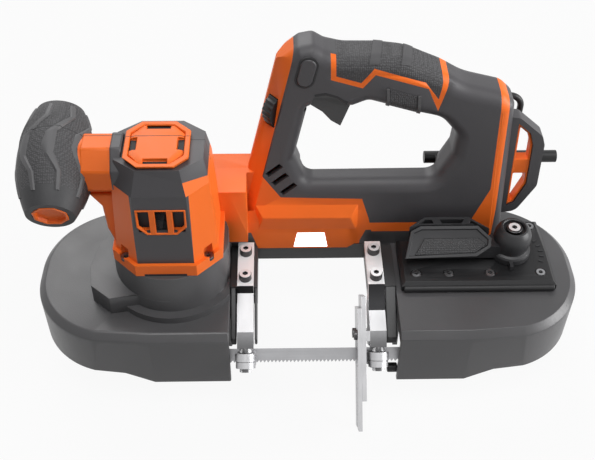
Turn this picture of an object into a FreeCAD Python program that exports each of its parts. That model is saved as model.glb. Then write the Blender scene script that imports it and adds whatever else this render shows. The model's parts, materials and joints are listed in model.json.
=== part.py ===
# Cordless portable band saw. Lengths are in millimetres. +X runs towards the battery end,
# +Y away from the cutting side and +Z up from the underside of the wheel guards.
import FreeCAD, Part
import math
import os

# Fits shared by all pieces
overrun = 2.0
fit_gap = 0.05
seat_gap = 0.3

# Blade loop and wheels
wheel_spacing = 260.0
wheel_line = 45.0
wheel_radius = 50.0
tyre_thickness = 3.0
wheel_width = 16.0
wheel_web = 6.0
hub_radius = 15.0
web_hole_radius = 8.5
web_hole_count = 5
axle_radius = 6.0
axle_head_radius = 9.0
axle_head_height = 3.0
bearing_radius = 11.0
bearing_height = 5.0
blade_width = 9.5
blade_thickness = 0.6
blade_gap = 0.3
blade_mid_height = 27.0
blade_twist = 45.0
twist_run = 42.0
twist_step_count = 4
tooth_pitch = 2.54
tooth_depth = 1.7
tooth_rake_share = 0.35

# Wheel guards
guard_height = 55.0
guard_radius = 56.5
guard_wall = 3.5
guard_bevel = 4.5
guard_front_reach = 58.0
guard_low = 8.0
guard_back_shift = 11.0
rim_rise = 7.0
rim_run = 20.0
guard_crease = 24.0
facet_low_across = 18.0
facet_low_front = 52.0
facet_high_across = 12.0
facet_high_front = 55.2
throat_left = 54.0
throat_right = 59.5
blade_window = 27.0
blade_window_height = 44.0

# Frame between the guards
spine_front = 18.0
spine_back = 12.0
spine_depth = 14.0
arm_width = 18.5
arm_length = 43.0
pad_rise = 3.0

# Blade guides
guide_width = 11.0
guide_inset = 5.0
right_guide_inset = 8.5
guide_plate_back = 5.0
guide_plate_thickness = 5.0
left_step_reach = 41.5
left_step_drop = 7.4
right_slope_reach = 41.0
right_slope = 12.5
guide_foot_height = 36.0
guide_block_near = 6.0
guide_block_length = 11.0
guide_block_half = 11.5
guide_bolt_first = 10.5
guide_bolt_pitch = 24.0
roller_radius = 7.0
roller_upper = 5.4
roller_lower = 4.2
roller_groove = 0.4
roller_shrink = 0.4
roller_relief = 0.4
roller_start = 2.7
roller_pin_radius = 2.5
roller_boss_radius = 4.0
roller_boss_height = 2.7

# Work stop
stop_thickness = 2.6
stop_half_width = 12.0
stop_rise = 32.0
stop_reach = 50.0
stop_slot_half = 2.5
stop_slot_top = 10.0
stop_travel = 20.0
stop_bracket_thickness = 3.0
stop_bracket_rise = 40.0
stop_bracket_reach = 30.0
stop_screw_spacing = 14.0
stop_screw_rise = 14.0
stop_offset = 1.2

# Gear train
gear_module = 1.0
gear_teeth = 60
pinion_teeth = 15
pressure_angle = 20.0
addendum_share = 0.75
dedendum_share = 1.0
tooth_thickness_share = 0.46
flank_point_count = 5
gear_width = 8.0
gear_clear = 3.0

# Gearbox cover and motor tower
gearbox_radius = 39.0
gearbox_height = 36.0
gearbox_bore = 30.0
skirt_radius = 45.0
skirt_height = 5.0
fin_height = 15.0
shoulder_reach = 56.0
shoulder_shares = [(0, 0.64), (-0.64, 0.61), (-0.93, 0.29), (-1, -0.11), (-0.95, -0.43), (-0.71, -0.64), (0, -0.75)]
tower_flange = 35.5
tower_flange_height = 9.0
tower_base = 33.0
tower_top = 30.0
tower_height = 63.0
tower_corner_share = 0.55
parting_back = 5.0
collar_height = 16.0
collar_top = 24.0
cap_apothem = 17.9
cap_deepen = 1.7
cap_height = 3.0
cap_rim = 3.0
cap_recess = 2.0
panel_width = 36.0
panel_thickness = 2.0
panel_foot = 9.0
vent_width = 29.0
vent_height = 17.0
vent_low = 35.5
vent_bar = 3.5
vent_count = 3
stator_radius = 24.0
stator_bore = 19.5
stator_height = 40.0
stator_foot = 16.0
rotor_radius = 19.0
motor_shaft_radius = 4.0
fan_radius = 23.5
fan_hub_radius = 9.0
fan_height = 8.0
fan_blade = 2.0
fan_blade_count = 9
motor_bearing_radius = 9.0
motor_bearing_height = 6.0
tower_screw_side = 26.5
tower_screw_front = 24.0
tower_screw_groove = 11.0
tower_screw_rise = 4.5

# Front knob
neck_radius = 17.5
knob_x = 158.0
knob_height = 156.0
knob_length = 73.0
knob_radius = 23.3
knob_end_radius = 15.0
knob_core_radius = 9.5
knob_link_radius = 7.0
knob_plug_radius = 11.0
knob_plug_depth = 3.0
knob_tilt = 20.0

# D-handle and body, outlines are shares of handle_length and handle_height
handle_left = 52.0
handle_length = 190.0
handle_height = 164.0
handle_half = 14.25
handle_mid = -2.75
handle_wall = 4.0
handle_fillet = 9.0
skin_thickness = 2.0
post_bevel_x = 10.0
post_bevel_y = 12.0
bridge_left = 78.0
bridge_front = 30.0
bridge_back = 10.0
bridge_height = 62.0
ledge_depth = 4.0
ledge_height = 25.0
ledge_length = 86.0
ledge_slant = 6.0
outline_shares = [(0, 0), (0, 0.08), (0.163, 0.921), (0.232, 0.988), (0.281, 1), (0.318, 0.972),
                  (0.377, 0.954), (0.489, 0.953), (0.581, 0.939), (0.71, 0.872), (0.788, 0.817),
                  (0.921, 0.776), (0.963, 0.73), (1, 0.067), (1, 0)]
outline_round_shares = [0, 0.1, 0.02, 0.03, 0.03, 0.05, 0.15, 0.2, 0.2, 0.3, 0.25, 0.06, 0.04, 0.03, 0]
opening_shares = [(0.268, 0.726), (0.224, 0.476), (0.262, 0.344), (0.724, 0.348), (0.776, 0.482),
                  (0.781, 0.58), (0.72, 0.666), (0.621, 0.695), (0.468, 0.751), (0.418, 0.724)]
opening_round_shares = [0.02, 0.04, 0.05, 0.06, 0.05, 0.06, 0.1, 0.1, 0.03, 0.03]
orange_shares = [(-0.05, -0.05), (-0.05, 1.05), (0.232, 1.05), (0.208, 0.915), (0.11, 0.392),
                 (0.174, 0.276), (0.468, 0.264), (0.497, 0.152), (0.511, 0.073), (0.868, 0.073),
                 (0.868, -0.05)]
stripe_shares = [(0.903, 1.05), (0.907, 0.824), (0.928, 0.311), (0.868, 0.105), (0.868, -0.05), (0.962, -0.05),
                 (0.962, 0.2), (0.937, 0.824), (0.935, 1.05)]
end_shares = [(0.935, 1.05), (0.937, 0.824), (0.962, 0.2), (0.962, -0.05), (1.05, -0.05), (1.05, 1.05)]
grip_shares = [(0.352, 1.05), (0.356, 0.884), (0.438, 0.853), (0.478, 0.916), (0.648, 0.853), (0.697, 0.775),
               (0.706, 0.85), (0.684, 1.05)]
inlay_shares = [(0.335, 1.05), (0.339, 0.868), (0.444, 0.829), (0.483, 0.889), (0.66, 0.824), (0.70, 0.72),
                (0.727, 0.85), (0.70, 1.05)]
air_slot_shares = [(0.151, 0.424), (0.172, 0.376), (0.201, 0.322)]
air_slot_length = 13.0
air_slot_width = 4.0
air_slot_lean = 42.0
back_recess_left = 8.0
back_recess_right = 90.0
back_recess_low = 74.0
back_recess_face = 0.5

# Trigger, switch, buttons and light
trigger_half = 11.0
trigger_slot_gap = 0.4
trigger_shares = [(0.272, 0.742), (0.27, 0.812), (0.302, 0.822), (0.347, 0.80), (0.408, 0.738), (0.378, 0.636),
                  (0.345, 0.662), (0.315, 0.705)]
trigger_notch_shares = [(0.262, 0.70), (0.284, 0.788), (0.356, 0.785), (0.424, 0.715)]
trigger_slot_shares = [(0.255, 0.70), (0.255, 0.826), (0.45, 0.826), (0.45, 0.74), (0.424, 0.70)]
trigger_pivot_share = (0.29, 0.804)
trigger_pin_radius = 1.5
switch_length = 22.0
switch_height = 15.0
switch_share = (0.465, 0.785)
board_length = 60.0
board_height = 3.0
board_share = (0.30, 0.06)
button_width = 10.0
button_height = 20.0
button_depth = 9.0
button_proud = 1.0
button_travel = 4.0
button_gap = 0.3
button_lean = 12.0
button_share = (0.26, 0.90)
dial_radius = 13.0
dial_width = 8.0
dial_proud = 5.0
dial_gap = 0.4
dial_ridge_count = 24
dial_ridge = 0.8
dial_height_share = 0.69
dial_pin_radius = 2.0
light_width = 24.0
light_top_width = 19.0
light_height = 14.0
light_depth = 3.0
light_x = 2.0
light_foot = 1.0

# Guard loop, hook and battery foot
loop_half = 5.0
loop_liner_half = 4.0
loop_shares = [(0.94, 0.65), (1.0, 0.637), (1.09, 0.545), (1.103, 0.50), (1.11, 0.28), (1.05, 0.135),
               (0.96, 0.12)]
loop_round_shares = [0, 0.03, 0.04, 0.04, 0.05, 0.05, 0]
window_shares = [(0.997, 0.61), (1.045, 0.56), (1.062, 0.50), (1.07, 0.29), (1.038, 0.185), (1.012, 0.165)]
loop_liner = 1.6
loop_bar_low_share = 0.345
loop_bar_high_share = 0.42
hook_bar_radius = 4.4
hook_bar_back = 25.0
hook_bar_height = 100.0
hook_bar_left = 84.0
hook_bar_length = 95.0
hook_wire_radius = 2.2
hook_left = 112.0
hook_width = 34.0
hook_rise = 54.0
hook_corner = 9.0
hook_eye_radius = 7.5
hook_eye_width = 7.0
hook_arm_width = 9.0
hook_arm_height = 8.0
foot_left = 58.0
foot_length = 30.0
foot_low = 76.0
foot_height = 26.0
foot_depth = 7.0
rail_width = 5.0
rail_lip = 3.0
terminal_count = 4
terminal_width = 1.2
terminal_height = 14.0
terminal_depth = 5.0

# Blade tension
plate_left = 63.0
plate_length = 106.0
plate_front = 63.5
plate_thickness = 7.0
plate_bevel = 2.5
plate_back_gap = 2.5
plate_ear_left = 150.0
plate_ear_right = 167.0
plate_ear_back = 1.0
plate_screw_row = 53.5
plate_screw_places = [73.5, 96.0, 124.5, 159.5]
plate_ear_screw = (160.5, 8.0)
lever_hub_x = 141.0
lever_hub_y = 34.0
lever_hub_radius = 12.0
lever_hub_height = 24.0
lever_lift = 0.4
lever_reach = 79.0
lever_front = 48.0
lever_back = 23.0
lever_height = 25.0
lever_front_height = 13.0
lever_slope_share = 0.62
lever_cam_radius = 5.0
lever_cam_drop = 8.0
lever_slot_count = 3
lever_slot_depth = 9.0
lever_rib = 3.0
lever_recess = 3.0
lever_shares = [(1, 0.12), (0.95, 0), (0.34, 0.06), (0.16, 0.3), (0, 0.32), (0, 0.83), (0.2, 0.88), (0.36, 1),
                (0.8, 1), (0.96, 0.66)]
lever_slot_start_share = 0.34
lever_slot_end_share = 0.8
lever_slot_width = 9.0
lever_slot_wall = 2.5
carriage_boss_radius = 8.0
spring_seat_half = 8.0
carriage_half_length = 17.0
carriage_half_width = 14.0
carriage_height = 11.0
carriage_travel = 8.0
rail_rib = 4.0
spring_radius = 5.0
spring_wall = 1.2
spring_length = 20.0

# Screws: head radius, head height, shank radius, shank length
guide_bolt = (4.2, 5.0, 2.5, 12.0)
tower_screw = (3.4, 2.2, 1.6, 16.0)
plate_screw = (3.4, 2.2, 1.6, 8.0)
stop_screw = (3.4, 2.2, 1.6, 12.0)
lever_screw = (5.5, 3.0, 3.0, 14.0)
socket_share = 0.5

# Places worked out from the sizes above
drive_x = -wheel_spacing / 2
idler_x = wheel_spacing / 2
wheel_y = -wheel_line
motor_x = drive_x + gear_module * (gear_teeth + pinion_teeth) / 2
blade_y = wheel_y - wheel_radius - blade_gap - blade_thickness / 2
front_y = wheel_y - guard_front_reach
wheel_low = blade_mid_height - wheel_width / 2
wheel_high = blade_mid_height + wheel_width / 2
gear_low = wheel_high + gear_clear
gear_high = gear_low + gear_width
ceiling = guard_height - guard_wall
spine_low = guard_height - spine_depth
pad_top = guard_height + pad_rise
plate_level = pad_top + guide_plate_thickness
arm_front = -spine_front - arm_length
left_guide_x = -throat_left + guide_inset + guide_width / 2
right_guide_x = throat_right - right_guide_inset - guide_width / 2
gearbox_top = guard_height + gearbox_height
tower_low = gearbox_top + tower_flange_height
tower_high = gearbox_top + tower_height
collar_high = tower_high + collar_height
parting_y = wheel_y + parting_back
handle_low = guard_height
handle_face = handle_mid - handle_half
handle_rear_face = handle_mid + handle_half
handle_parting = -back_recess_face - handle_wall - seat_gap
lean_run = handle_length * outline_shares[2][0]
lean_rise = handle_height * (outline_shares[2][1] - outline_shares[1][1])
tension_top = guard_height + plate_thickness
lever_low = tension_top + lever_lift
spring_end = idler_x - carriage_half_length
cut_angle = math.radians(blade_twist)
up = FreeCAD.Vector(0, 0, 1)
along_cut = FreeCAD.Vector(0, -math.sin(cut_angle), -math.cos(cut_angle))
off_blade = FreeCAD.Vector(0, -math.cos(cut_angle), math.sin(cut_angle))
blade_point = FreeCAD.Vector(0, blade_y, blade_mid_height)
roller_offset = blade_thickness / 2 + roller_radius + blade_gap
roller_stack = roller_upper + roller_groove + roller_lower
stop_x = right_guide_x - roller_radius - stop_offset - stop_bracket_thickness
stop_face = stop_x - fit_gap - stop_thickness


def vector(x, y, z):
    return FreeCAD.Vector(x, y, z)


def block(x, y, z):
    return Part.makeBox(x[1] - x[0], y[1] - y[0], z[1] - z[0], vector(x[0], y[0], z[0]))


def rod(radius, start, end):
    along = end.sub(start)
    return Part.makeCylinder(radius, along.Length, start, along)


def post(radius, x, y, low, high):
    return rod(radius, vector(x, y, low), vector(x, y, high))


def sleeve(outer, inner, x, y, low, high):
    return post(outer, x, y, low, high).cut(post(inner, x, y, low - overrun, high + overrun))


def joined(shapes):
    whole = shapes[0]
    for shape in shapes[1:]:
        whole = whole.fuse(shape)
    return whole.removeSplitter()


def closed(points):
    return points + points[:1]


def prism(points, along):
    return Part.Face(Part.makePolygon(closed(points))).extrude(along)


def prism_xy(pairs, z):
    return prism([vector(x, y, z[0]) for x, y in pairs], vector(0, 0, z[1] - z[0]))


def prism_xz(pairs, y):
    return prism([vector(x, y[0], z) for x, z in pairs], vector(0, y[1] - y[0], 0))


def prism_yz(pairs, x):
    return prism([vector(x[0], y, z) for y, z in pairs], vector(x[1] - x[0], 0, 0))


def rounded_wire(points, radii):
    """Closed wire through the points with an arc of the given radius at each corner."""
    edges = []
    starts = []
    ends = []
    count = len(points)
    for i, corner in enumerate(points):
        back = points[i - 1].sub(corner).normalize()
        ahead = points[(i + 1) % count].sub(corner).normalize()
        if radii[i] == 0:
            starts.append(corner)
            ends.append(corner)
            edges.append(None)
            continue
        half = back.getAngle(ahead) / 2
        tangent = radii[i] / math.tan(half)
        first = corner.add(back * tangent)
        last = corner.add(ahead * tangent)
        middle = back.add(ahead).normalize() * (radii[i] / math.sin(half) - radii[i])
        starts.append(first)
        ends.append(last)
        edges.append(Part.Arc(first, corner.add(middle), last).toShape())
    chain = []
    for i in range(count):
        if edges[i]:
            chain.append(edges[i])
        chain.append(Part.LineSegment(ends[i], starts[(i + 1) % count]).toShape())
    return Part.Wire(chain)


def handle_points(shares, y):
    return [vector(-handle_left + handle_length * x, y, handle_low + handle_height * z) for x, z in shares]


def handle_pairs(shares):
    return [(point.x, point.z) for point in handle_points(shares, 0)]


def handle_place(share):
    return handle_pairs([share])[0]


def octagon(apothem, deepen, z):
    """Corners of an octagon about the motor axis, deeper than it is wide by twice the given amount."""
    corner = apothem * tower_corner_share
    deep = apothem + deepen
    steps = [(-corner, -deep), (corner, -deep), (apothem, -corner - deepen), (apothem, corner + deepen),
             (corner, deep), (-corner, deep), (-apothem, corner + deepen), (-apothem, -corner - deepen)]
    return [vector(motor_x + dx, wheel_y + dy, z) for dx, dy in steps]


def octagon_tower(low_apothem, high_apothem, low, high, deepen=0):
    outlines = [octagon(low_apothem, deepen, low), octagon(high_apothem, deepen, high)]
    return Part.makeLoft([Part.makePolygon(closed(points)) for points in outlines], True, True)


def screw(seat, out, size):
    head_radius, head_height, shank_radius, shank_length = size
    head = rod(head_radius, seat, seat.add(out * head_height))
    shank = rod(shank_radius, seat, seat.sub(out * shank_length))
    whole = head.fuse(shank).removeSplitter()
    depth = head_height * socket_share
    key = Part.makeCylinder(head_radius * socket_share, depth + overrun, seat.add(out * depth), out)
    return whole.cut(key)


def screw_hole(seat, out, size):
    return rod(size[2] + fit_gap, seat.add(out * overrun), seat.sub(out * (size[3] + fit_gap)))


def cut_all(shape, tools):
    for tool in tools:
        shape = shape.cut(tool)
    return shape


# Wheel guards
def guard_wire(side, inset, throat_inset, z, facet):
    throat = throat_left if side < 0 else throat_right
    centre_x = side * wheel_spacing / 2
    radius = guard_radius - inset
    inner = side * (throat + throat_inset)
    front = front_y + inset
    back = wheel_y + guard_back_shift + radius
    reach = math.hypot(facet[0], facet[1])
    shrink = (reach - inset) / reach
    crease = vector(centre_x - side * guard_crease, front, z)
    facet_end = vector(centre_x + side * facet[0] * shrink, wheel_y - facet[1] * shrink, z)
    turn = math.atan2(facet[1], facet[0]) / 2
    middle = (reach - inset + radius) / 2
    front_mid = vector(centre_x + side * middle * math.cos(turn), wheel_y - middle * math.sin(turn), z)
    end = vector(centre_x + side * radius, wheel_y, z)
    back_end = vector(centre_x + side * radius, wheel_y + guard_back_shift, z)
    diagonal = radius * math.sqrt(1 / 2)
    back_mid = vector(centre_x + side * diagonal, wheel_y + guard_back_shift + diagonal, z)
    top = vector(centre_x, back, z)
    arcs = [Part.Arc(facet_end, front_mid, end).toShape(), Part.makeLine(end, back_end),
            Part.Arc(back_end, back_mid, top).toShape()]
    corners = [top, vector(inner, back, z), vector(inner, front, z), crease, facet_end]
    lines = [Part.makeLine(a, b) for a, b in zip(corners, corners[1:])]
    return Part.Wire(arcs + lines)


def rim_cut(side):
    """Wedge that lifts the lower rim of the round end of a guard."""
    near = side * (wheel_spacing / 2 - guard_crease)
    far = side * wheel_spacing
    low = guard_low - overrun
    high = guard_low + rim_rise
    pairs = [(near, low), (near, guard_low), (near + side * rim_run, high), (far, high), (far, low)]
    return prism_xz(pairs, (-wheel_spacing, wheel_spacing))


def guard_loft(side, inset, throat_inset, low, high):
    facet_low = (facet_low_across, facet_low_front)
    facet_high = (facet_high_across, facet_high_front)
    wires = [guard_wire(side, inset, throat_inset, z, facet) for z, facet in ((low, facet_low), (high, facet_high))]
    return Part.makeLoft(wires, True, True)


def guard_shell(side):
    throat = throat_left if side < 0 else throat_right
    facet_high = (facet_high_across, facet_high_front)
    shoulder = guard_height - guard_bevel
    wall = guard_loft(side, 0, 0, guard_low, shoulder)
    bevel = Part.makeLoft([guard_wire(side, 0, 0, shoulder, facet_high),
                           guard_wire(side, guard_bevel, 0, guard_height, facet_high)], True, True)
    outer = joined([wall, bevel])
    hollow = guard_loft(side, guard_wall, guard_wall, guard_low - overrun, ceiling)
    window_x = sorted([side * (throat - overrun), side * (throat + guard_wall + overrun)])
    window_y = (front_y + guard_wall, front_y + guard_wall + blade_window)
    window = block(window_x, window_y, (guard_low - overrun, blade_window_height))
    return_y = wheel_y + wheel_radius
    return_slot = block(window_x, (return_y - overrun, return_y + blade_gap + blade_thickness + overrun),
                        (guard_low - overrun, blade_window_height))
    return cut_all(outer, [hollow, window, return_slot, rim_cut(side)])


def left_wheel_guard():
    shell = guard_shell(-1)
    seat = sleeve(bearing_radius + guard_wall, bearing_radius + fit_gap, drive_x, wheel_y,
                  ceiling - bearing_height, ceiling)
    opening = post(gearbox_bore, motor_x, wheel_y, ceiling - overrun, guard_height + overrun)
    shell = shell.cut(opening).fuse(seat)
    shaft_hole = post(bearing_radius + fit_gap, drive_x, wheel_y, gear_high, ceiling)
    return shell.cut(shaft_hole).removeSplitter()


def right_wheel_guard():
    shell = guard_shell(1)
    ribs = []
    for side in (-1, 1):
        near = wheel_y + side * (carriage_half_width + seat_gap)
        far = near + side * rail_rib
        length = carriage_half_length + carriage_travel
        ribs.append(block((idler_x - length, idler_x + carriage_half_length), sorted([near, far]),
                          (ceiling - carriage_height, ceiling)))
    seat_x = spring_end - spring_length
    ribs.append(block((seat_x - rail_rib, seat_x), (wheel_y - spring_seat_half, wheel_y + spring_seat_half),
                      (ceiling - carriage_height, ceiling)))
    shell = joined([shell] + ribs)
    cam_hole = post(lever_cam_radius + seat_gap, lever_hub_x, -lever_hub_y, ceiling - overrun - carriage_height,
                    guard_height + overrun)
    return cut_all(shell, [cam_hole] + plate_screw_holes())


# Frame
def main_frame():
    spine = block((-throat_left, throat_right), (-spine_front, spine_back), (spine_low, guard_height))
    arms = []
    for edge, side in ((-throat_left, 1), (throat_right, -1)):
        arms.append(block(sorted([edge, edge + side * arm_width]), (arm_front, -spine_front - ledge_depth),
                          (spine_low, pad_top)))
        arms.append(block(sorted([edge, edge + side * arm_width]), (arm_front, -spine_front),
                          (spine_low, guard_height)))
    frame = joined([spine] + arms)
    return cut_all(frame, [screw_hole(seat, up, guide_bolt) for seat in guide_bolt_seats()])


# Wheels
def wheel(x):
    rim_radius = wheel_radius - tyre_thickness
    rim = sleeve(rim_radius, rim_radius - tyre_thickness, x, wheel_y, wheel_low, wheel_high)
    web_low = blade_mid_height - wheel_web / 2
    web = post(rim_radius - tyre_thickness / 2, x, wheel_y, web_low, web_low + wheel_web)
    hub = post(hub_radius, x, wheel_y, wheel_low, wheel_high)
    body = joined([rim, web, hub])
    reach = (rim_radius - tyre_thickness + hub_radius) / 2
    holes = []
    for i in range(web_hole_count):
        turn = 2 * math.pi * i / web_hole_count
        holes.append(post(web_hole_radius, x + reach * math.cos(turn), wheel_y + reach * math.sin(turn),
                          wheel_low, wheel_high))
    return cut_all(body, holes)


def drive_wheel():
    return wheel(drive_x).cut(post(axle_radius + fit_gap, drive_x, wheel_y, 0, guard_height))


def idler_wheel():
    return wheel(idler_x).cut(post(bearing_radius + fit_gap, idler_x, wheel_y, 0, guard_height))


def tyre(x):
    return sleeve(wheel_radius, wheel_radius - tyre_thickness + fit_gap, x, wheel_y, wheel_low, wheel_high)


def headed_axle(x, high):
    head_low = wheel_low - axle_head_height
    head = post(axle_head_radius, x, wheel_y, head_low, wheel_low)
    return head.fuse(post(axle_radius, x, wheel_y, head_low, high)).removeSplitter()


def drive_shaft():
    return headed_axle(drive_x, ceiling - seat_gap)


def shaft_bearings():
    lower = sleeve(bearing_radius, axle_radius + fit_gap, drive_x, wheel_y, ceiling - bearing_height, ceiling)
    upper = sleeve(motor_bearing_radius, motor_shaft_radius + fit_gap, motor_x, wheel_y, tower_high,
                   tower_high + motor_bearing_height)
    return Part.Compound([lower, upper])


def idler_axle():
    return headed_axle(idler_x, ceiling - carriage_height + carriage_height / 2)


def idler_bearing():
    return sleeve(bearing_radius, axle_radius + fit_gap, idler_x, wheel_y, wheel_low + fit_gap, wheel_high)


# Gears, with involute flanks
def gear_outline(teeth, x, y, phase):
    pitch = gear_module * teeth / 2
    base = pitch * math.cos(math.radians(pressure_angle))
    tip = pitch + gear_module * addendum_share
    root = pitch - gear_module * dedendum_share
    pitch_roll = math.tan(math.radians(pressure_angle)) - math.radians(pressure_angle)
    half_tooth = math.pi * tooth_thickness_share / teeth
    low = max(base, root)
    points = []
    for tooth in range(teeth):
        middle = phase + 2 * math.pi * tooth / teeth
        flank = []
        for step in range(flank_point_count):
            radius = low + (tip - low) * step / (flank_point_count - 1)
            lean = math.acos(min(1, base / radius))
            flank.append((radius, half_tooth + pitch_roll - (math.tan(lean) - lean)))
        flank = [(root, flank[0][1])] + flank
        points += [(r, middle - a) for r, a in flank] + [(r, middle + a) for r, a in reversed(flank)]
    return [(x + r * math.cos(a), y + r * math.sin(a)) for r, a in points]


def drive_gear():
    body = prism_xy(gear_outline(gear_teeth, drive_x, wheel_y, 0), (gear_low, gear_high))
    hub = post(hub_radius, drive_x, wheel_y, wheel_high, gear_low)
    return body.fuse(hub).cut(post(axle_radius + fit_gap, drive_x, wheel_y, 0, guard_height)).removeSplitter()


def motor_pinion():
    phase = math.pi + math.pi / pinion_teeth
    body = prism_xy(gear_outline(pinion_teeth, motor_x, wheel_y, phase), (gear_low, gear_high))
    return body.cut(post(motor_shaft_radius + fit_gap, motor_x, wheel_y, 0, guard_height))


# Motor
def stator_low():
    return gearbox_top + stator_foot


def motor_shaft():
    return post(motor_shaft_radius, motor_x, wheel_y, gear_low, tower_high + motor_bearing_height - seat_gap)


def motor_rotor():
    low = stator_low()
    return sleeve(rotor_radius, motor_shaft_radius + fit_gap, motor_x, wheel_y, low, low + stator_height)


def motor_stator():
    low = stator_low()
    return sleeve(stator_radius, stator_bore, motor_x, wheel_y, low, low + stator_height)


def motor_fan():
    low = stator_low() - fan_height - tower_flange_height / 4
    hub = post(fan_hub_radius, motor_x, wheel_y, low, low + fan_height)
    disc = post(fan_radius, motor_x, wheel_y, low, low + fan_blade)
    blades = []
    for i in range(fan_blade_count):
        blade = block((motor_x + fan_hub_radius / 2, motor_x + fan_radius - fan_blade),
                      (wheel_y - fan_blade / 2, wheel_y + fan_blade / 2), (low, low + fan_height))
        blade.rotate(vector(motor_x, wheel_y, 0), up, 360 * i / fan_blade_count)
        blades.append(blade)
    fan = joined([disc, hub] + blades)
    return fan.cut(post(motor_shaft_radius + fit_gap, motor_x, wheel_y, 0, tower_high))


def gearbox_housing():
    drum = post(gearbox_radius, motor_x, wheel_y, guard_height, gearbox_top)
    skirt = post(skirt_radius, motor_x, wheel_y, guard_height, guard_height + skirt_height)
    pairs = [(motor_x + shoulder_reach * x, wheel_y + shoulder_reach * y) for x, y in shoulder_shares]
    fin = prism_xy(pairs, (guard_height, guard_height + fin_height))
    body = joined([drum, skirt, fin])
    limit = -throat_left - seat_gap
    trim = block((limit, limit + skirt_radius), (wheel_y - 2 * skirt_radius, wheel_y + 2 * skirt_radius),
                 (guard_height - overrun, gearbox_top + overrun))
    bore = post(gearbox_bore, motor_x, wheel_y, guard_height - overrun, gearbox_top + overrun)
    return cut_all(body, [trim, bore] + [screw_hole(seat, up, tower_screw) for seat in tower_screw_seats()])


def tower_blank():
    flange = octagon_tower(tower_flange, tower_flange, gearbox_top, tower_low)
    body = octagon_tower(tower_base, tower_top, tower_low, tower_high)
    return joined([flange, body])


def tower_screw_seats():
    level = gearbox_top + tower_screw_rise
    corners = [(-1, -1), (1, -1), (-1, 1)]
    return [vector(motor_x + a * tower_screw_side, wheel_y + b * tower_screw_front, level) for a, b in corners]


def panel_zone():
    return block((motor_x - panel_width / 2, motor_x + panel_width / 2),
                 (wheel_y - 2 * tower_flange, wheel_y), (gearbox_top + panel_foot, tower_high))


def vent_zone():
    vents = []
    gap = (vent_width - vent_bar * (vent_count - 1)) / vent_count
    for i in range(vent_count):
        left = motor_x - vent_width / 2 + i * (gap + vent_bar)
        vents.append(block((left, left + gap), (wheel_y - 2 * tower_flange, wheel_y),
                           (gearbox_top + vent_low, gearbox_top + vent_low + vent_height)))
    return vents


def tower_skin():
    inset = octagon_tower(tower_base - panel_thickness, tower_top - panel_thickness, tower_low, tower_high)
    flange_front = block((motor_x - panel_width, motor_x + panel_width),
                         (wheel_y - 2 * tower_flange, wheel_y), (gearbox_top, tower_low))
    skin = octagon_tower(tower_base, tower_top, tower_low, tower_high).cut(inset)
    return skin.cut(flange_front).common(panel_zone())


def motor_housing():
    low = stator_low()
    body = tower_blank().cut(tower_skin())
    bore = post(stator_radius + seat_gap, motor_x, wheel_y, gearbox_top - overrun, low + stator_height)
    neck_bore = post(motor_bearing_radius, motor_x, wheel_y, low, tower_high + overrun)
    holes = []
    for seat in tower_screw_seats():
        holes.append(post(tower_screw[0] + seat_gap, seat.x, seat.y, seat.z, seat.z + tower_screw_groove))
        holes.append(screw_hole(seat, up, tower_screw))
    return cut_all(body, [bore, neck_bore] + holes + vent_zone())


def half_space(side, y):
    reach = wheel_spacing
    span = sorted([y, y + side * reach])
    return block((-reach, reach), span, (-reach, reach + tower_high))


def motor_housing_front():
    return motor_housing().common(half_space(-1, parting_y))


def motor_housing_rear():
    return motor_housing().common(half_space(1, parting_y))


def motor_front_panel():
    return cut_all(tower_skin(), vent_zone())


def motor_collar():
    body = octagon_tower(tower_top, collar_top, tower_high, collar_high)
    seat_apothem = cap_apothem + fit_gap
    seat = octagon_tower(seat_apothem, seat_apothem, collar_high - cap_height, collar_high + overrun, cap_deepen)
    pocket = post(motor_bearing_radius + fit_gap, motor_x, wheel_y, tower_high - overrun,
                  tower_high + motor_bearing_height)
    return cut_all(body, [seat, pocket])


def motor_end_cap():
    top = collar_high + cap_height
    inner = cap_apothem - cap_rim
    body = octagon_tower(cap_apothem, cap_apothem, collar_high - cap_height, top, cap_deepen)
    recess = octagon_tower(inner, inner, top - cap_recess, top + overrun, cap_deepen)
    return body.cut(recess)


def case_screws():
    side = vector(-1, 0, 0)
    screws = [screw(seat, up, tower_screw) for seat in tower_screw_seats()]
    screws += [screw(seat, up, plate_screw) for seat in plate_screw_seats()]
    screws += [screw(seat, side, stop_screw) for seat in stop_screw_seats()]
    return Part.Compound(screws)


# Front knob
def knob_axis():
    tilt = math.radians(knob_tilt)
    return vector(0, -math.cos(tilt), -math.sin(tilt))


def knob_centre():
    return vector(-knob_x, wheel_y, knob_height)


def knob_neck(radius):
    end = motor_x - collar_top
    return rod(radius, vector(-knob_x, wheel_y, knob_height), vector(end, wheel_y, knob_height))


def knob_socket(gap):
    """The neck with the thinner link that carries it through the grip to the spindle."""
    axis = knob_axis()
    centre = knob_centre()
    reach = axis * knob_length
    stub = knob_neck(neck_radius + gap).cut(rod(knob_end_radius - gap, centre.sub(reach), centre.add(reach)))
    return joined([stub, knob_neck(knob_link_radius + gap)])


def knob_core():
    axis = knob_axis()
    centre = knob_centre()
    half = knob_length / 2 - knob_plug_depth
    spindle = rod(knob_core_radius, centre.sub(axis * half), centre.add(axis * half))
    plug = rod(knob_plug_radius, centre.add(axis * (half - knob_plug_depth)), centre.add(axis * half))
    body = joined([knob_socket(0), spindle, plug])
    tower = octagon_tower(tower_base, tower_top, tower_low, tower_high)
    collar = octagon_tower(tower_top, collar_top, tower_high, collar_high)
    return cut_all(body, [tower, collar])


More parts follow.
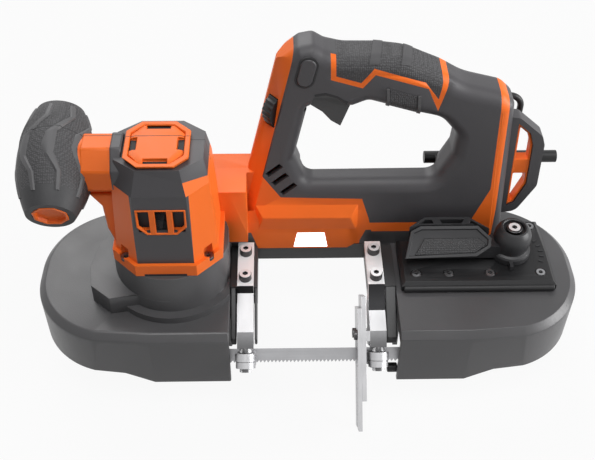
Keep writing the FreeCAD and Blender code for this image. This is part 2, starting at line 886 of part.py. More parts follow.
def knob_grip():
    axis = knob_axis()
    centre = knob_centre()
    half = knob_length / 2
    barrel = Part.Arc(vector(knob_end_radius, 0, -half), vector(knob_radius, 0, 0),
                      vector(knob_end_radius, 0, half)).toShape()
    lines = [Part.makeLine(vector(knob_end_radius, 0, half), vector(0, 0, half)),
             Part.makeLine(vector(0, 0, half), vector(0, 0, -half)),
             Part.makeLine(vector(0, 0, -half), vector(knob_end_radius, 0, -half))]
    body = Part.Face(Part.Wire([barrel] + lines)).revolve(vector(0, 0, 0), up, 360)
    body.Placement = FreeCAD.Placement(centre, FreeCAD.Rotation(up, axis))
    far = centre.add(axis * knob_length)
    core = rod(knob_core_radius + fit_gap, centre.sub(axis * (half - knob_plug_depth)), far)
    plug = rod(knob_plug_radius + fit_gap, centre.add(axis * (half - 2 * knob_plug_depth)), far)
    return cut_all(body, [core, plug, knob_socket(fit_gap)])


# Handle and body
def handle_radii(shares):
    return [handle_height * share for share in shares]


def handle_solid(half):
    front = handle_mid - half
    face = Part.Face(rounded_wire(handle_points(outline_shares, front), handle_radii(outline_round_shares)))
    opening = Part.Face(rounded_wire(handle_points(opening_shares, front - overrun),
                                     handle_radii(opening_round_shares)))
    body = face.extrude(vector(0, 2 * half, 0))
    return body.cut(opening.extrude(vector(0, 2 * half + 2 * overrun, 0)))


def post_bevels(wall):
    """Wedges off the two outer corners of the post, grown by a wall to keep the hollow clear of them."""
    base = handle_points(outline_shares, 0)[1]
    lean = vector(lean_run, 0, lean_rise) * 2
    grow = 2 * wall
    wedge = [(-overrun, -overrun), (post_bevel_x + grow, -overrun), (post_bevel_x + grow, 0),
             (0, post_bevel_y + grow), (-overrun, post_bevel_y + grow)]
    wedges = []
    for side in (-1, 1):
        points = [vector(base.x + dx, handle_mid + side * (handle_half - dy), base.z) for dx, dy in wedge]
        wedges.append(prism(points, lean))
    return wedges


def handle_blank():
    body = handle_solid(handle_half)
    side = handle_half - fit_gap
    edges = [edge for edge in body.Edges
             if abs(edge.CenterOfMass.y - handle_mid) > side and edge.CenterOfMass.z > handle_low + fit_gap]
    body = body.makeFillet(handle_fillet, edges)
    return cut_all(body, post_bevels(0) + [back_recess(0)])


def back_recess(wall):
    """Pocket in the back of the lower bar for the battery foot, grown by a wall to keep the hollow clear of it."""
    high = handle_place(opening_shares[3])[1] + handle_fillet + wall
    return block((-back_recess_left - wall, back_recess_right + wall),
                 (-back_recess_face - wall, handle_rear_face + overrun), (back_recess_low - wall, high))


def handle_inset(inset):
    """The handle drawn in by an even amount, for the hollow and for the skins laid into its surface."""
    half = handle_half - inset
    front = handle_mid - half
    face = Part.Face(rounded_wire(handle_points(outline_shares, front), handle_radii(outline_round_shares)))
    opening = Part.Face(rounded_wire(handle_points(opening_shares, front - overrun),
                                     handle_radii(opening_round_shares)))
    body = face.makeOffset2D(-inset).extrude(vector(0, 2 * half, 0))
    return body.cut(opening.makeOffset2D(inset).extrude(vector(0, 2 * half + 2 * overrun, 0)))


def through_handle(shares, half):
    return prism_xz(handle_pairs(shares), (handle_mid - half, handle_mid + half))


def dial_place():
    """Middle of the dial, its axle direction and the direction out of the bevel."""
    base = handle_points(outline_shares, 0)[1]
    level = handle_low + handle_height * dial_height_share
    x = base.x + lean_run * (level - base.z) / lean_rise
    across = vector(-post_bevel_x, post_bevel_y, 0).normalize()
    out = vector(-post_bevel_y, -post_bevel_x, 0).normalize()
    middle = vector(x + post_bevel_x / 2, handle_face + post_bevel_y / 2, level)
    return middle.sub(out * (dial_radius - dial_proud)), across, out


def dial_rod(radius, half):
    middle, across, out = dial_place()
    return rod(radius, middle.sub(across * half), middle.add(across * half))


def dial_pocket():
    hole = dial_rod(dial_pin_radius + fit_gap, dial_width / 2 + handle_wall)
    return dial_rod(dial_radius + dial_gap, dial_width / 2 + dial_gap).fuse(hole)


def stadium(width, height, y):
    """Upright rounded slab for the lock button, leaning with the post."""
    x, z = handle_place(button_share)
    half = (height - width) / 2
    shapes = [block((x - width / 2, x + width / 2), y, (z - half, z + half))]
    for side in (-1, 1):
        shapes.append(rod(width / 2, vector(x, y[0], z + side * half), vector(x, y[1], z + side * half)))
    slab = joined(shapes)
    slab.rotate(vector(x, 0, z), vector(0, 1, 0), button_lean)
    return slab


def air_slots():
    """Leaning cooling slots through the front wall at the foot of the post."""
    slots = []
    for share in air_slot_shares:
        x, z = handle_place(share)
        slot = block((x - air_slot_length / 2, x + air_slot_length / 2),
                     (handle_face - overrun, handle_face + handle_wall + overrun),
                     (z - air_slot_width / 2, z + air_slot_width / 2))
        slot.rotate(vector(x, 0, z), vector(0, 1, 0), -air_slot_lean)
        slots.append(slot)
    return slots


def trigger_pin(radius, half):
    x, z = handle_place(trigger_pivot_share)
    return rod(radius, vector(x, handle_mid - half, z), vector(x, handle_mid + half, z))


def handle_hollow():
    cradle = dial_rod(dial_radius + handle_wall, dial_width / 2 + handle_wall)
    hollow = cut_all(handle_inset(handle_wall), [cradle, back_recess(handle_wall)] + post_bevels(handle_wall))
    slot_half = trigger_half + trigger_slot_gap
    pocket_width = button_width + 2 * button_gap
    pocket_height = button_height + 2 * button_gap
    pocket_end = handle_face + button_depth + button_travel + seat_gap
    pocket = stadium(pocket_width, pocket_height, (handle_face - overrun, pocket_end))
    return [hollow, dial_pocket(), pocket, through_handle(trigger_notch_shares, handle_half + overrun),
            through_handle(trigger_slot_shares, slot_half),
            trigger_pin(trigger_pin_radius + fit_gap, handle_half - handle_wall / 2 + fit_gap)]


def handle_skin(blank):
    core = handle_inset(skin_thickness)
    side = handle_half - skin_thickness - fit_gap
    edges = [edge for edge in core.Edges if abs(edge.CenterOfMass.y - handle_mid) > side]
    return blank.cut(core.makeFillet(handle_fillet - skin_thickness, edges))


def bridge():
    left = -bridge_left
    post_side = -handle_left + post_bevel_x
    top = handle_low + bridge_height
    wall = block((left, post_side), (-bridge_front, bridge_back), (handle_low, top))
    link = block((left, post_side + post_bevel_y), (-bridge_back, bridge_back), (handle_low, top))
    drum = post(gearbox_radius, motor_x, wheel_y, guard_height, gearbox_top)
    skirt = post(skirt_radius, motor_x, wheel_y, guard_height, guard_height + skirt_height)
    room = block((-throat_left - seat_gap, post_side + overrun),
                 (-bridge_front - overrun, handle_face - ledge_depth),
                 (handle_low - overrun, plate_level + guide_bolt[1] + overrun))
    return cut_all(joined([wall, link]), [drum, skirt, tower_blank(), room])


def ledge():
    front = handle_face - ledge_depth
    low = handle_low + ledge_height
    high = low + 2 * ledge_depth
    right = -handle_left + ledge_length
    profile = [(handle_face, handle_low), (front, handle_low), (front, low), (handle_face, high)]
    end = prism_xy([(right - ledge_slant, front), (right - ledge_slant, front - overrun),
                    (right + overrun, front - overrun), (right + overrun, handle_face), (right, handle_face)],
                   (handle_low - overrun, high + overrun))
    return prism_yz(profile, (-handle_left, right)).cut(end)


def light_prism():
    front = handle_face - ledge_depth
    low = handle_low + light_foot
    high = low + light_height
    pairs = [(light_x - light_width / 2, low), (light_x + light_width / 2, low),
             (light_x + light_top_width / 2, high), (light_x - light_top_width / 2, high)]
    return prism_xz(pairs, (front, front + light_depth))


def handle_pieces():
    """The shells of the handle and the skins let into them, cut from one blank so that they meet face to face."""
    blank = handle_blank()
    hollow = handle_hollow()
    reach = handle_half + overrun
    skin = cut_all(handle_skin(blank), hollow[1:])
    grip_zone = through_handle(grip_shares, reach)
    orange_zone = through_handle(orange_shares, reach)
    stripe_zone = through_handle(stripe_shares, reach)
    end_zone = through_handle(end_shares, reach)
    grip = skin.common(grip_zone)
    inlay = skin.common(through_handle(inlay_shares, reach)).cut(grip_zone)
    shell = cut_all(blank, hollow + [grip, inlay])
    body = cut_all(joined([blank.common(orange_zone), bridge(), ledge()]), hollow + [light_prism()])
    grey = cut_all(shell, [orange_zone, stripe_zone, end_zone])
    pieces = {"handle_grip": grip, "grip_inlay": inlay, "end_stripe": shell.common(stripe_zone)}
    for name, side in (("front", -1), ("rear", 1)):
        half = half_space(side, handle_parting)
        pieces["handle_" + name] = grey.common(half)
        pieces["body_" + name] = body.common(half)
    pieces["handle_front"] = cut_all(pieces["handle_front"], air_slots())
    end = blank.common(end_zone)
    loop_points = handle_points(loop_shares, handle_mid - loop_half)
    outline = Part.Face(rounded_wire(loop_points, handle_radii(loop_round_shares)))
    loop = outline.extrude(vector(0, 2 * loop_half, 0)).cut(stripe_zone)
    window = Part.Face(Part.makePolygon(closed(handle_points(window_shares, handle_mid - loop_half - overrun))))
    opening = window.makeOffset2D(fit_gap).extrude(vector(0, 2 * loop_half + 2 * overrun, 0))
    pieces["guard_loop"] = cut_all(joined([end, loop]), [hollow[0], opening])
    return pieces


def loop_liner_ring():
    face = Part.Face(Part.makePolygon(closed(handle_points(window_shares, handle_mid - loop_liner_half))))
    along = vector(0, 2 * loop_liner_half, 0)
    inner = face.makeOffset2D(-loop_liner).extrude(along)
    solid = face.extrude(along)
    low = handle_low + handle_height * loop_bar_low_share
    high = handle_low + handle_height * loop_bar_high_share
    box = solid.BoundBox
    bar = solid.common(block((box.XMin, box.XMax), (box.YMin, box.YMax), (low, high)))
    return joined([solid.cut(inner), bar])


def trigger():
    body = through_handle(trigger_shares, trigger_half)
    return body.fuse(trigger_pin(trigger_pin_radius, handle_half - handle_wall / 2)).removeSplitter()


def inside_half():
    return handle_half - handle_wall - seat_gap


def switch_module():
    x, z = handle_place(switch_share)
    half = inside_half()
    return block((x, x + switch_length), (handle_mid - half, handle_mid + half), (z, z + switch_height))


def control_board():
    x, z = handle_place(board_share)
    half = inside_half()
    return block((x, x + board_length), (handle_mid - half, handle_mid + half), (z, z + board_height))


def lock_button():
    return stadium(button_width, button_height, (handle_face - button_proud, handle_face + button_depth))


def speed_dial():
    middle, across, out = dial_place()
    start = middle.sub(across * (dial_width / 2))
    points = []
    for i in range(2 * dial_ridge_count):
        turn = math.pi * i / dial_ridge_count
        radius = dial_radius - dial_ridge * (i % 2)
        points.append(start.add(out * (radius * math.cos(turn))).add(up * (radius * math.sin(turn))))
    body = prism(points, across * dial_width)
    return body.fuse(dial_rod(dial_pin_radius, dial_width / 2 + handle_wall - seat_gap)).removeSplitter()


# Hook and battery foot
def hook_bar():
    left = vector(hook_bar_left, hook_bar_back, hook_bar_height)
    bar = rod(hook_bar_radius, left, left.add(vector(hook_bar_length, 0, 0)))
    arms = []
    for middle in (hook_left - hook_arm_width - hook_eye_width, hook_left + hook_width / 2):
        arms.append(block((middle - hook_arm_width / 2, middle + hook_arm_width / 2),
                          (handle_rear_face, hook_bar_back),
                          (hook_bar_height - hook_arm_height / 2, hook_bar_height + hook_arm_height / 2)))
    return joined([bar] + arms)


def hang_hook():
    low = hook_bar_height + (hook_eye_radius + hook_bar_radius) / 2
    high = hook_bar_height + hook_rise
    right = hook_left + hook_width
    bend = hook_corner * (1 - math.sqrt(1 / 2))
    places = [(hook_left, low), (hook_left, high - hook_corner), (hook_left + bend, high - bend),
              (hook_left + hook_corner, high), (right - hook_corner, high), (right - bend, high - bend),
              (right, high - hook_corner), (right, low)]
    p = [vector(x, hook_bar_back, z) for x, z in places]
    path = Part.Wire([Part.makeLine(p[0], p[1]), Part.Arc(p[1], p[2], p[3]).toShape(), Part.makeLine(p[3], p[4]),
                      Part.Arc(p[4], p[5], p[6]).toShape(), Part.makeLine(p[6], p[7])])
    section = Part.Wire(Part.makeCircle(hook_wire_radius, p[0], up))
    wire = path.makePipeShell([section], True, False)
    eyes = []
    holes = []
    for x in (hook_left, right):
        start = vector(x - hook_eye_width / 2, hook_bar_back, hook_bar_height)
        eyes.append(rod(hook_eye_radius, start, start.add(vector(hook_eye_width, 0, 0))))
        holes.append(rod(hook_bar_radius + fit_gap, start.sub(vector(overrun, 0, 0)),
                         start.add(vector(hook_eye_width + overrun, 0, 0))))
    return cut_all(joined([wire] + eyes), holes)


def foot_x():
    return (foot_left, foot_left + foot_length)


def battery_foot():
    back = foot_depth - back_recess_face
    high = foot_low + foot_height
    body = block(foot_x(), (-back_recess_face, back), (foot_low, high))
    lip_y = (back - rail_lip - seat_gap, back)
    channel = block((foot_left - overrun, foot_left + foot_length - rail_lip),
                    (back - rail_lip, back + overrun), (foot_low + rail_width, high - rail_width))
    grooves = []
    for low in (foot_low - overrun, high - rail_width / 2):
        grooves.append(block((foot_left - overrun, foot_left + foot_length - rail_lip),
                             (rail_lip - back_recess_face, lip_y[0]), (low, low + rail_width / 2 + overrun)))
    return cut_all(body, [channel] + grooves + [terminal_row(fit_gap)])


def terminal_row(gap):
    root = foot_depth - back_recess_face - rail_lip - terminal_depth / 2
    pitch = (foot_height - 2 * rail_width) / terminal_count
    blades = []
    for i in range(terminal_count):
        middle = foot_low + rail_width + pitch * (i + 1 / 2)
        blades.append(block((foot_left + rail_width - gap, foot_left + rail_width + terminal_height + gap),
                            (root, root + terminal_depth),
                            (middle - terminal_width / 2 - gap, middle + terminal_width / 2 + gap)))
    return Part.Compound(blades)


def battery_terminals():
    return terminal_row(0)


# Blade tension
def plate_screw_seats():
    level = tension_top - plate_screw[1]
    seats = [vector(x, -plate_screw_row, level) for x in plate_screw_places]
    return seats + [vector(plate_ear_screw[0], -plate_ear_screw[1], level)]


def plate_screw_holes():
    return [screw_hole(seat, up, plate_screw) for seat in plate_screw_seats()]


def cam_post(radius):
    return post(radius, lever_hub_x, -lever_hub_y, ceiling - lever_cam_drop, lever_low + overrun)


def tension_plate():
    right = plate_left + plate_length
    back = handle_face - plate_back_gap
    pairs = [(plate_left, -plate_front), (right, -plate_front), (right, -lever_hub_y),
             (plate_ear_right, -plate_ear_back), (plate_ear_left, -plate_ear_back), (plate_ear_left, back),
             (plate_left, back)]
    body = prism_xy(pairs, (guard_height, tension_top))
    rim = [edge for edge in body.Edges if all(abs(v.Z - tension_top) < fit_gap for v in edge.Vertexes)]
    body = body.makeChamfer(plate_bevel, rim)
    recesses = [post(plate_screw[0] + seat_gap, seat.x, seat.y, seat.z, tension_top + overrun)
                for seat in plate_screw_seats()]
    return cut_all(body, recesses + plate_screw_holes() + [cam_post(lever_cam_radius + seat_gap)])


def lever_point(share):
    x = lever_hub_x - lever_reach * share[0]
    return (x, -lever_front + (lever_front - lever_back) * share[1])


def lever_seat():
    return vector(lever_hub_x, -lever_hub_y, lever_low + lever_hub_height - lever_recess)


def tension_lever():
    arm = prism_xy([lever_point(share) for share in lever_shares], (lever_low, lever_low + lever_height))
    ridge = -lever_front + (lever_front - lever_back) * lever_slope_share
    top = lever_low + lever_height
    front_top = lever_low + lever_front_height
    before = -lever_front - overrun
    slope = [(before, front_top), (ridge, top), (ridge, top + overrun), (before, top + overrun)]
    arm = arm.cut(prism_yz(slope, (lever_hub_x - lever_reach - overrun, lever_hub_x - lever_hub_radius)))
    hub = post(lever_hub_radius, lever_hub_x, -lever_hub_y, lever_low, lever_low + lever_hub_height)
    over_hub = post(lever_hub_radius, lever_hub_x, -lever_hub_y, lever_low + lever_hub_height, top + overrun)
    start = lever_hub_x - lever_reach * lever_slot_start_share
    span = lever_reach * (lever_slot_end_share - lever_slot_start_share) + lever_rib
    slot_back = -lever_back - lever_slot_wall
    slots = []
    for i in range(lever_slot_count):
        right = start - span * i / lever_slot_count
        left = start - span * (i + 1) / lever_slot_count + lever_rib
        slots.append(block((left, right), (slot_back - lever_slot_width, slot_back),
                           (top - lever_slot_depth, top + overrun)))
    seat = lever_seat()
    recess = post(lever_screw[0] + seat_gap, seat.x, seat.y, seat.z, seat.z + lever_height)
    body = joined([arm.cut(over_hub), hub, cam_post(lever_cam_radius)])
    return cut_all(body, slots + [recess, screw_hole(seat, up, lever_screw)])


def lever_bolt():
    return screw(lever_seat(), up, lever_screw)


def tension_carriage():
    low = ceiling - carriage_height
    body = block((idler_x - carriage_half_length, idler_x + carriage_half_length),
                 (wheel_y - carriage_half_width, wheel_y + carriage_half_width), (low, ceiling - seat_gap))
    boss = post(carriage_boss_radius, idler_x, wheel_y, wheel_high + seat_gap, low)
    axle_hole = post(axle_radius + fit_gap, idler_x, wheel_y, 0, low + carriage_height / 2 + fit_gap)
    clear = lever_cam_radius + 2 * seat_gap
    slot = block((lever_hub_x - clear, lever_hub_x + carriage_half_length),
                 (-lever_hub_y - clear, -lever_hub_y + clear), (0, guard_height))
    return cut_all(joined([body, boss]), [axle_hole, slot])


def tension_spring():
    start = vector(spring_end - spring_length, wheel_y, ceiling - carriage_height / 2)
    end = vector(spring_end, wheel_y, ceiling - carriage_height / 2)
    return rod(spring_radius, start, end).cut(rod(spring_radius - spring_wall, start, end))


# Blade guides and work stop
def cut_place(x, along, off):
    point = blade_point.add(along_cut * along).add(off_blade * off)
    return vector(x, point.y, point.z)


def cut_pair(along, off):
    point = cut_place(0, along, off)
    return (point.y, point.z)


def guide_bolt_seats():
    first = -spine_front - guide_plate_back - guide_bolt_first
    seats = []
    for x in (left_guide_x, right_guide_x):
        seats += [vector(x, first, plate_level), vector(x, first - guide_bolt_pitch, plate_level)]
    return seats


def guide_bolts():
    return Part.Compound([screw(seat, up, guide_bolt) for seat in guide_bolt_seats()])


def guide(x, upper):
    back = -spine_front - guide_plate_back
    neck = arm_front - seat_gap
    far = -guide_block_near - guide_block_length
    half = guide_block_half
    profile = [(back, plate_level)] + upper
    profile += [cut_pair(far, half), cut_pair(-guide_block_near, half), cut_pair(-guide_block_near, -half),
                cut_pair(far, -half), (neck, guide_foot_height), (neck, pad_top), (back, pad_top)]
    body = prism_yz(profile, (x - guide_width / 2, x + guide_width / 2))
    shapes = [body]
    for side in (-1, 1):
        off = side * roller_offset
        low = roller_start - roller_stack - roller_boss_height
        shapes.append(rod(roller_pin_radius, cut_place(x, -guide_block_near, off), cut_place(x, -low, off)))
        shapes.append(rod(roller_boss_radius, cut_place(x, -guide_block_near, off),
                          cut_place(x, -roller_start - roller_relief, off)))
        shapes.append(rod(roller_boss_radius, cut_place(x, roller_stack - roller_start + roller_relief, off),
                          cut_place(x, -low, off)))
    body = joined(shapes)
    return cut_all(body, [screw_hole(seat, up, guide_bolt) for seat in guide_bolt_seats()])


def left_blade_guide():
    back = -spine_front - guide_plate_back
    step = back - left_step_reach
    return guide(left_guide_x, [(step, plate_level), (step, plate_level - left_step_drop)])


def right_blade_guide():
    edge = -spine_front - guide_plate_back - right_slope_reach
    body = guide(right_guide_x, [(edge, plate_level), (edge - right_slope, plate_level - right_slope)])
    return cut_all(body, stop_screw_holes())


def roller(x, side):
    off = side * roller_offset
    split = roller_upper - roller_start
    end = roller_stack - roller_start
    upper = rod(roller_radius, cut_place(x, -roller_start, off), cut_place(x, split, off))
    lower = rod(roller_radius - roller_shrink, cut_place(x, split + roller_groove, off), cut_place(x, end, off))
    core = rod(roller_boss_radius, cut_place(x, -roller_start, off), cut_place(x, end, off))
    hole = rod(roller_pin_radius + fit_gap, cut_place(x, -roller_start - overrun, off),
               cut_place(x, end + overrun, off))
    return joined([upper, lower, core]).cut(hole)


def stop_blank(x, rise, reach):
    pairs = [cut_pair(-rise, -stop_half_width), cut_pair(reach, -stop_half_width),
             cut_pair(reach, -stop_slot_half), cut_pair(-stop_slot_top, -stop_slot_half),
             cut_pair(-stop_slot_top, stop_slot_half), cut_pair(reach, stop_slot_half),
             cut_pair(reach, stop_half_width), cut_pair(-rise, stop_half_width)]
    return prism_yz(pairs, x)


def stop_screw_seats():
    return [cut_place(stop_face - fit_gap, -stop_screw_rise, side * stop_screw_spacing / 2) for side in (-1, 1)]


def stop_screw_holes():
    return [screw_hole(seat, vector(-1, 0, 0), stop_screw) for seat in stop_screw_seats()]


def work_stop():
    body = stop_blank((stop_face, stop_face + stop_thickness), stop_rise, stop_reach)
    width = stop_screw[2] + seat_gap
    slots = []
    for side in (-1, 1):
        off = side * stop_screw_spacing / 2
        pairs = [cut_pair(-stop_screw_rise, off - width), cut_pair(stop_travel - stop_screw_rise, off - width),
                 cut_pair(stop_travel - stop_screw_rise, off + width), cut_pair(-stop_screw_rise, off + width)]
        slots.append(prism_yz(pairs, (stop_face - overrun, stop_x)))
        for along in (-stop_screw_rise, stop_travel - stop_screw_rise):
            slots.append(rod(width, cut_place(stop_face - overrun, along, off), cut_place(stop_x, along, off)))
    return cut_all(body, slots)


def stop_bracket():
    guide_face = right_guide_x - guide_width / 2
    plate = stop_blank((stop_x, stop_x + stop_bracket_thickness), stop_bracket_rise, stop_bracket_reach)
    far = -guide_block_near - guide_block_length
    half = guide_block_half
    pad = prism_yz([cut_pair(far, -half), cut_pair(-stop_slot_top, -half), cut_pair(-stop_slot_top, half),
                    cut_pair(far, half)], (stop_x + stop_bracket_thickness, guide_face))
    return cut_all(joined([plate, pad]), stop_screw_holes())


# Blade
def blade_wire(x, turn):
    half_width = blade_width / 2
    half = blade_thickness / 2
    corners = [(-half, -half_width), (half, -half_width), (half, half_width), (-half, half_width)]
    wire = Part.makePolygon(closed([vector(0, y, z) for y, z in corners]))
    wire.rotate(vector(0, 0, 0), vector(1, 0, 0), -turn)
    wire.translate(vector(x, blade_y, blade_mid_height))
    return wire


def racetrack(radius):
    z = (blade_mid_height - blade_width / 2, blade_mid_height + blade_width / 2)
    ends = [post(radius, x, wheel_y, z[0], z[1]) for x in (drive_x, idler_x)]
    return joined([block((drive_x, idler_x), (wheel_y - radius, wheel_y + radius), z)] + ends)


def toothed_run(left, right):
    half_width = blade_width / 2
    count = int((right - left) / tooth_pitch)
    pairs = [(left, half_width), (left, -half_width + tooth_depth)]
    for i in range(count):
        start = left + i * tooth_pitch
        pairs.append((start + tooth_pitch * tooth_rake_share, -half_width))
        pairs.append((start + tooth_pitch, -half_width + tooth_depth))
    pairs += [(right, -half_width + tooth_depth), (right, half_width)]
    body = prism_xz(pairs, (-blade_thickness / 2, blade_thickness / 2))
    body.rotate(vector(0, 0, 0), vector(1, 0, 0), -blade_twist)
    body.translate(vector(0, blade_y, blade_mid_height))
    return body


def saw_blade():
    left = -throat_left - guide_width
    right = throat_right + guide_width
    inner = wheel_radius + blade_gap
    ring = racetrack(inner + blade_thickness).cut(racetrack(inner))
    ring = ring.cut(block((left - twist_run, right + twist_run), (blade_y - overrun, blade_y + overrun),
                          (0, guard_height)))
    steps = range(twist_step_count + 1)
    shares = [i / twist_step_count for i in steps]
    first = Part.makeLoft([blade_wire(left - twist_run * (1 - a), blade_twist * a) for a in shares], True, True)
    last = Part.makeLoft([blade_wire(right + twist_run * (1 - a), blade_twist * a) for a in shares], True, True)
    return joined([ring, first, toothed_run(left, right), last])


def rollers():
    pieces = {}
    for name, x in (("left", left_guide_x), ("right", right_guide_x)):
        pieces["roller_" + name + "_front"] = roller(x, 1)
        pieces["roller_" + name + "_rear"] = roller(x, -1)
    return pieces


def all_pieces():
    pieces = {"left_wheel_guard": left_wheel_guard(), "right_wheel_guard": right_wheel_guard(),
              "main_frame": main_frame(), "drive_wheel": drive_wheel(), "idler_wheel": idler_wheel(),
              "drive_tyre": tyre(drive_x), "idler_tyre": tyre(idler_x), "drive_shaft": drive_shaft(),
              "shaft_bearings": shaft_bearings(), "idler_axle": idler_axle(), "idler_bearing": idler_bearing(),
              "drive_gear": drive_gear(), "motor_pinion": motor_pinion(), "motor_shaft": motor_shaft(),
              "motor_rotor": motor_rotor(), "motor_stator": motor_stator(), "motor_fan": motor_fan(),
              "gearbox_housing": gearbox_housing(),
              "motor_housing_front": motor_housing_front(), "motor_housing_rear": motor_housing_rear(),
              "motor_front_panel": motor_front_panel(), "motor_collar": motor_collar(),
              "motor_end_cap": motor_end_cap(), "case_screws": case_screws(), "knob_core": knob_core(),
              "knob_grip": knob_grip(), "loop_liner": loop_liner_ring(), "trigger": trigger(),
              "switch_module": switch_module(), "control_board": control_board(), "lock_button": lock_button(),
              "speed_dial": speed_dial(), "work_light": light_prism(), "hook_bar": hook_bar(),
              "hang_hook": hang_hook(), "battery_foot": battery_foot(), "battery_terminals": battery_terminals(),
              "tension_plate": tension_plate(), "tension_lever": tension_lever(),
              "lever_bolt": lever_bolt(), "tension_carriage": tension_carriage(),
              "tension_spring": tension_spring(), "left_blade_guide": left_blade_guide(),
              "right_blade_guide": right_blade_guide(), "guide_bolts": guide_bolts(), "work_stop": work_stop(),
              "stop_bracket": stop_bracket(), "saw_blade": saw_blade()}
    pieces.update(handle_pieces())
    pieces.update(rollers())
    return pieces


def centre_shift(pieces):
    """Move that brings the middle of the underside of the whole saw to the origin."""
    box = Part.Compound(list(pieces.values())).optimalBoundingBox(False)
    return vector(-(box.XMin + box.XMax) / 2, -(box.YMin + box.YMax) / 2, -box.ZMin)


def main():
    os.makedirs("parts", exist_ok=True)
    pieces = all_pieces()
    shift = centre_shift(pieces)
    for name, shape in pieces.items():
        shape.translate(shift)
        shape.exportStep("parts/" + name + ".step")


main()
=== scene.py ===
import json
import math

import bmesh
import bpy
from mathutils import Matrix, Vector

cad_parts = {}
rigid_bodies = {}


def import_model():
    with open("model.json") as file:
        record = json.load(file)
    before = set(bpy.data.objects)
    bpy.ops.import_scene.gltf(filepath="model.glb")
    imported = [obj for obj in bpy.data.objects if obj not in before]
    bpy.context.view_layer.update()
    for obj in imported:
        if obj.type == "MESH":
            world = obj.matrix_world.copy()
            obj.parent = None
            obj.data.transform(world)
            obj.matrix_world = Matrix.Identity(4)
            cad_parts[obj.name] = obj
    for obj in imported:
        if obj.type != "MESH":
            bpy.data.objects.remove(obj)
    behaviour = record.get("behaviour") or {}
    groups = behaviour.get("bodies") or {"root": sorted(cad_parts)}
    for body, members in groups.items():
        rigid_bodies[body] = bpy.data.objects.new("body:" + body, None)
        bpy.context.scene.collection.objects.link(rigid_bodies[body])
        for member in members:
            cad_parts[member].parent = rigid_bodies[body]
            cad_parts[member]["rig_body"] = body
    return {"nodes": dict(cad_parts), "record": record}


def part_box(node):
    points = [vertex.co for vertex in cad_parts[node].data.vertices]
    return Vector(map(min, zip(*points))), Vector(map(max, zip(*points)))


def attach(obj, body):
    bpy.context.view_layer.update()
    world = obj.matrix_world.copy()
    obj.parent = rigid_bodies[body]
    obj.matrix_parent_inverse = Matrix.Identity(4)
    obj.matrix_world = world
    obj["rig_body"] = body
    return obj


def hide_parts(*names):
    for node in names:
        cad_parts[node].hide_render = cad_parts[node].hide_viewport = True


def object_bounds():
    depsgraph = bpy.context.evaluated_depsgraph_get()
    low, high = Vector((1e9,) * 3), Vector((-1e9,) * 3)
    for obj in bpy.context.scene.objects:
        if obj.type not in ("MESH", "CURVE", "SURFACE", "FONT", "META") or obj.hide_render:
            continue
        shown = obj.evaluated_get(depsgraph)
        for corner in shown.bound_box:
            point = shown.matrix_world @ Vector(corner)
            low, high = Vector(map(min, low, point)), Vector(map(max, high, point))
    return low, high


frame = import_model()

cad_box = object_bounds()
nodes = frame["nodes"]
MM = 0.001
UP = Vector((0, 0, 1))

# Millimetres of the saw's drawing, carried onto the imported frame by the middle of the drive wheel
DRIVE_WHEEL_MIDDLE = Vector((-130.0, -45.0, 27.0))
drawing_home = sum(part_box("drive_wheel"), Vector()) / 2 - DRIVE_WHEEL_MIDDLE * MM


def at(x, y, z):
    """A place given in millimetres of the drawing."""
    return Vector((x, y, z)) * MM + drawing_home


# Shader groups shared by the finishes
def group_shell(name, inputs, outputs):
    group = bpy.data.node_groups.new(name, "ShaderNodeTree")
    for label, value in inputs:
        socket = group.interface.new_socket(label, in_out="INPUT", socket_type="NodeSocketFloat")
        socket.default_value = value
    for label in outputs:
        group.interface.new_socket(label, in_out="OUTPUT", socket_type="NodeSocketFloat")
    return group, group.nodes.new("NodeGroupInput"), group.nodes.new("NodeGroupOutput")


def feed(tree, value, socket):
    """Sets a socket to a number, or links another node's output to it."""
    if isinstance(value, (int, float)):
        socket.default_value = value
    else:
        tree.links.new(value, socket)


def math_node(tree, operation, a, b):
    node = tree.nodes.new("ShaderNodeMath")
    node.operation = operation
    feed(tree, a, node.inputs[0])
    feed(tree, b, node.inputs[1])
    return node.outputs[0]


def mixed_masks(tree, first, share, second):
    """Two masks added up, the first by its share and the second by the rest."""
    return math_node(tree, "ADD", math_node(tree, "MULTIPLY", first, share),
                     math_node(tree, "MULTIPLY", second, 1 - share))


def noise_node(tree, coords, scale, detail, rough):
    node = tree.nodes.new("ShaderNodeTexNoise")
    tree.links.new(coords, node.inputs["Vector"])
    feed(tree, scale, node.inputs["Scale"])
    node.inputs["Detail"].default_value = detail
    node.inputs["Roughness"].default_value = rough
    return node.outputs["Fac"]


def object_place(tree):
    return tree.nodes.new("ShaderNodeTexCoord").outputs["Object"]


def map_range(tree, value, low, high, to_low, to_high):
    node = tree.nodes.new("ShaderNodeMapRange")
    tree.links.new(value, node.inputs["Value"])
    for label, number in (("From Min", low), ("From Max", high), ("To Min", to_low), ("To Max", to_high)):
        node.inputs[label].default_value = number
    return node.outputs["Result"]


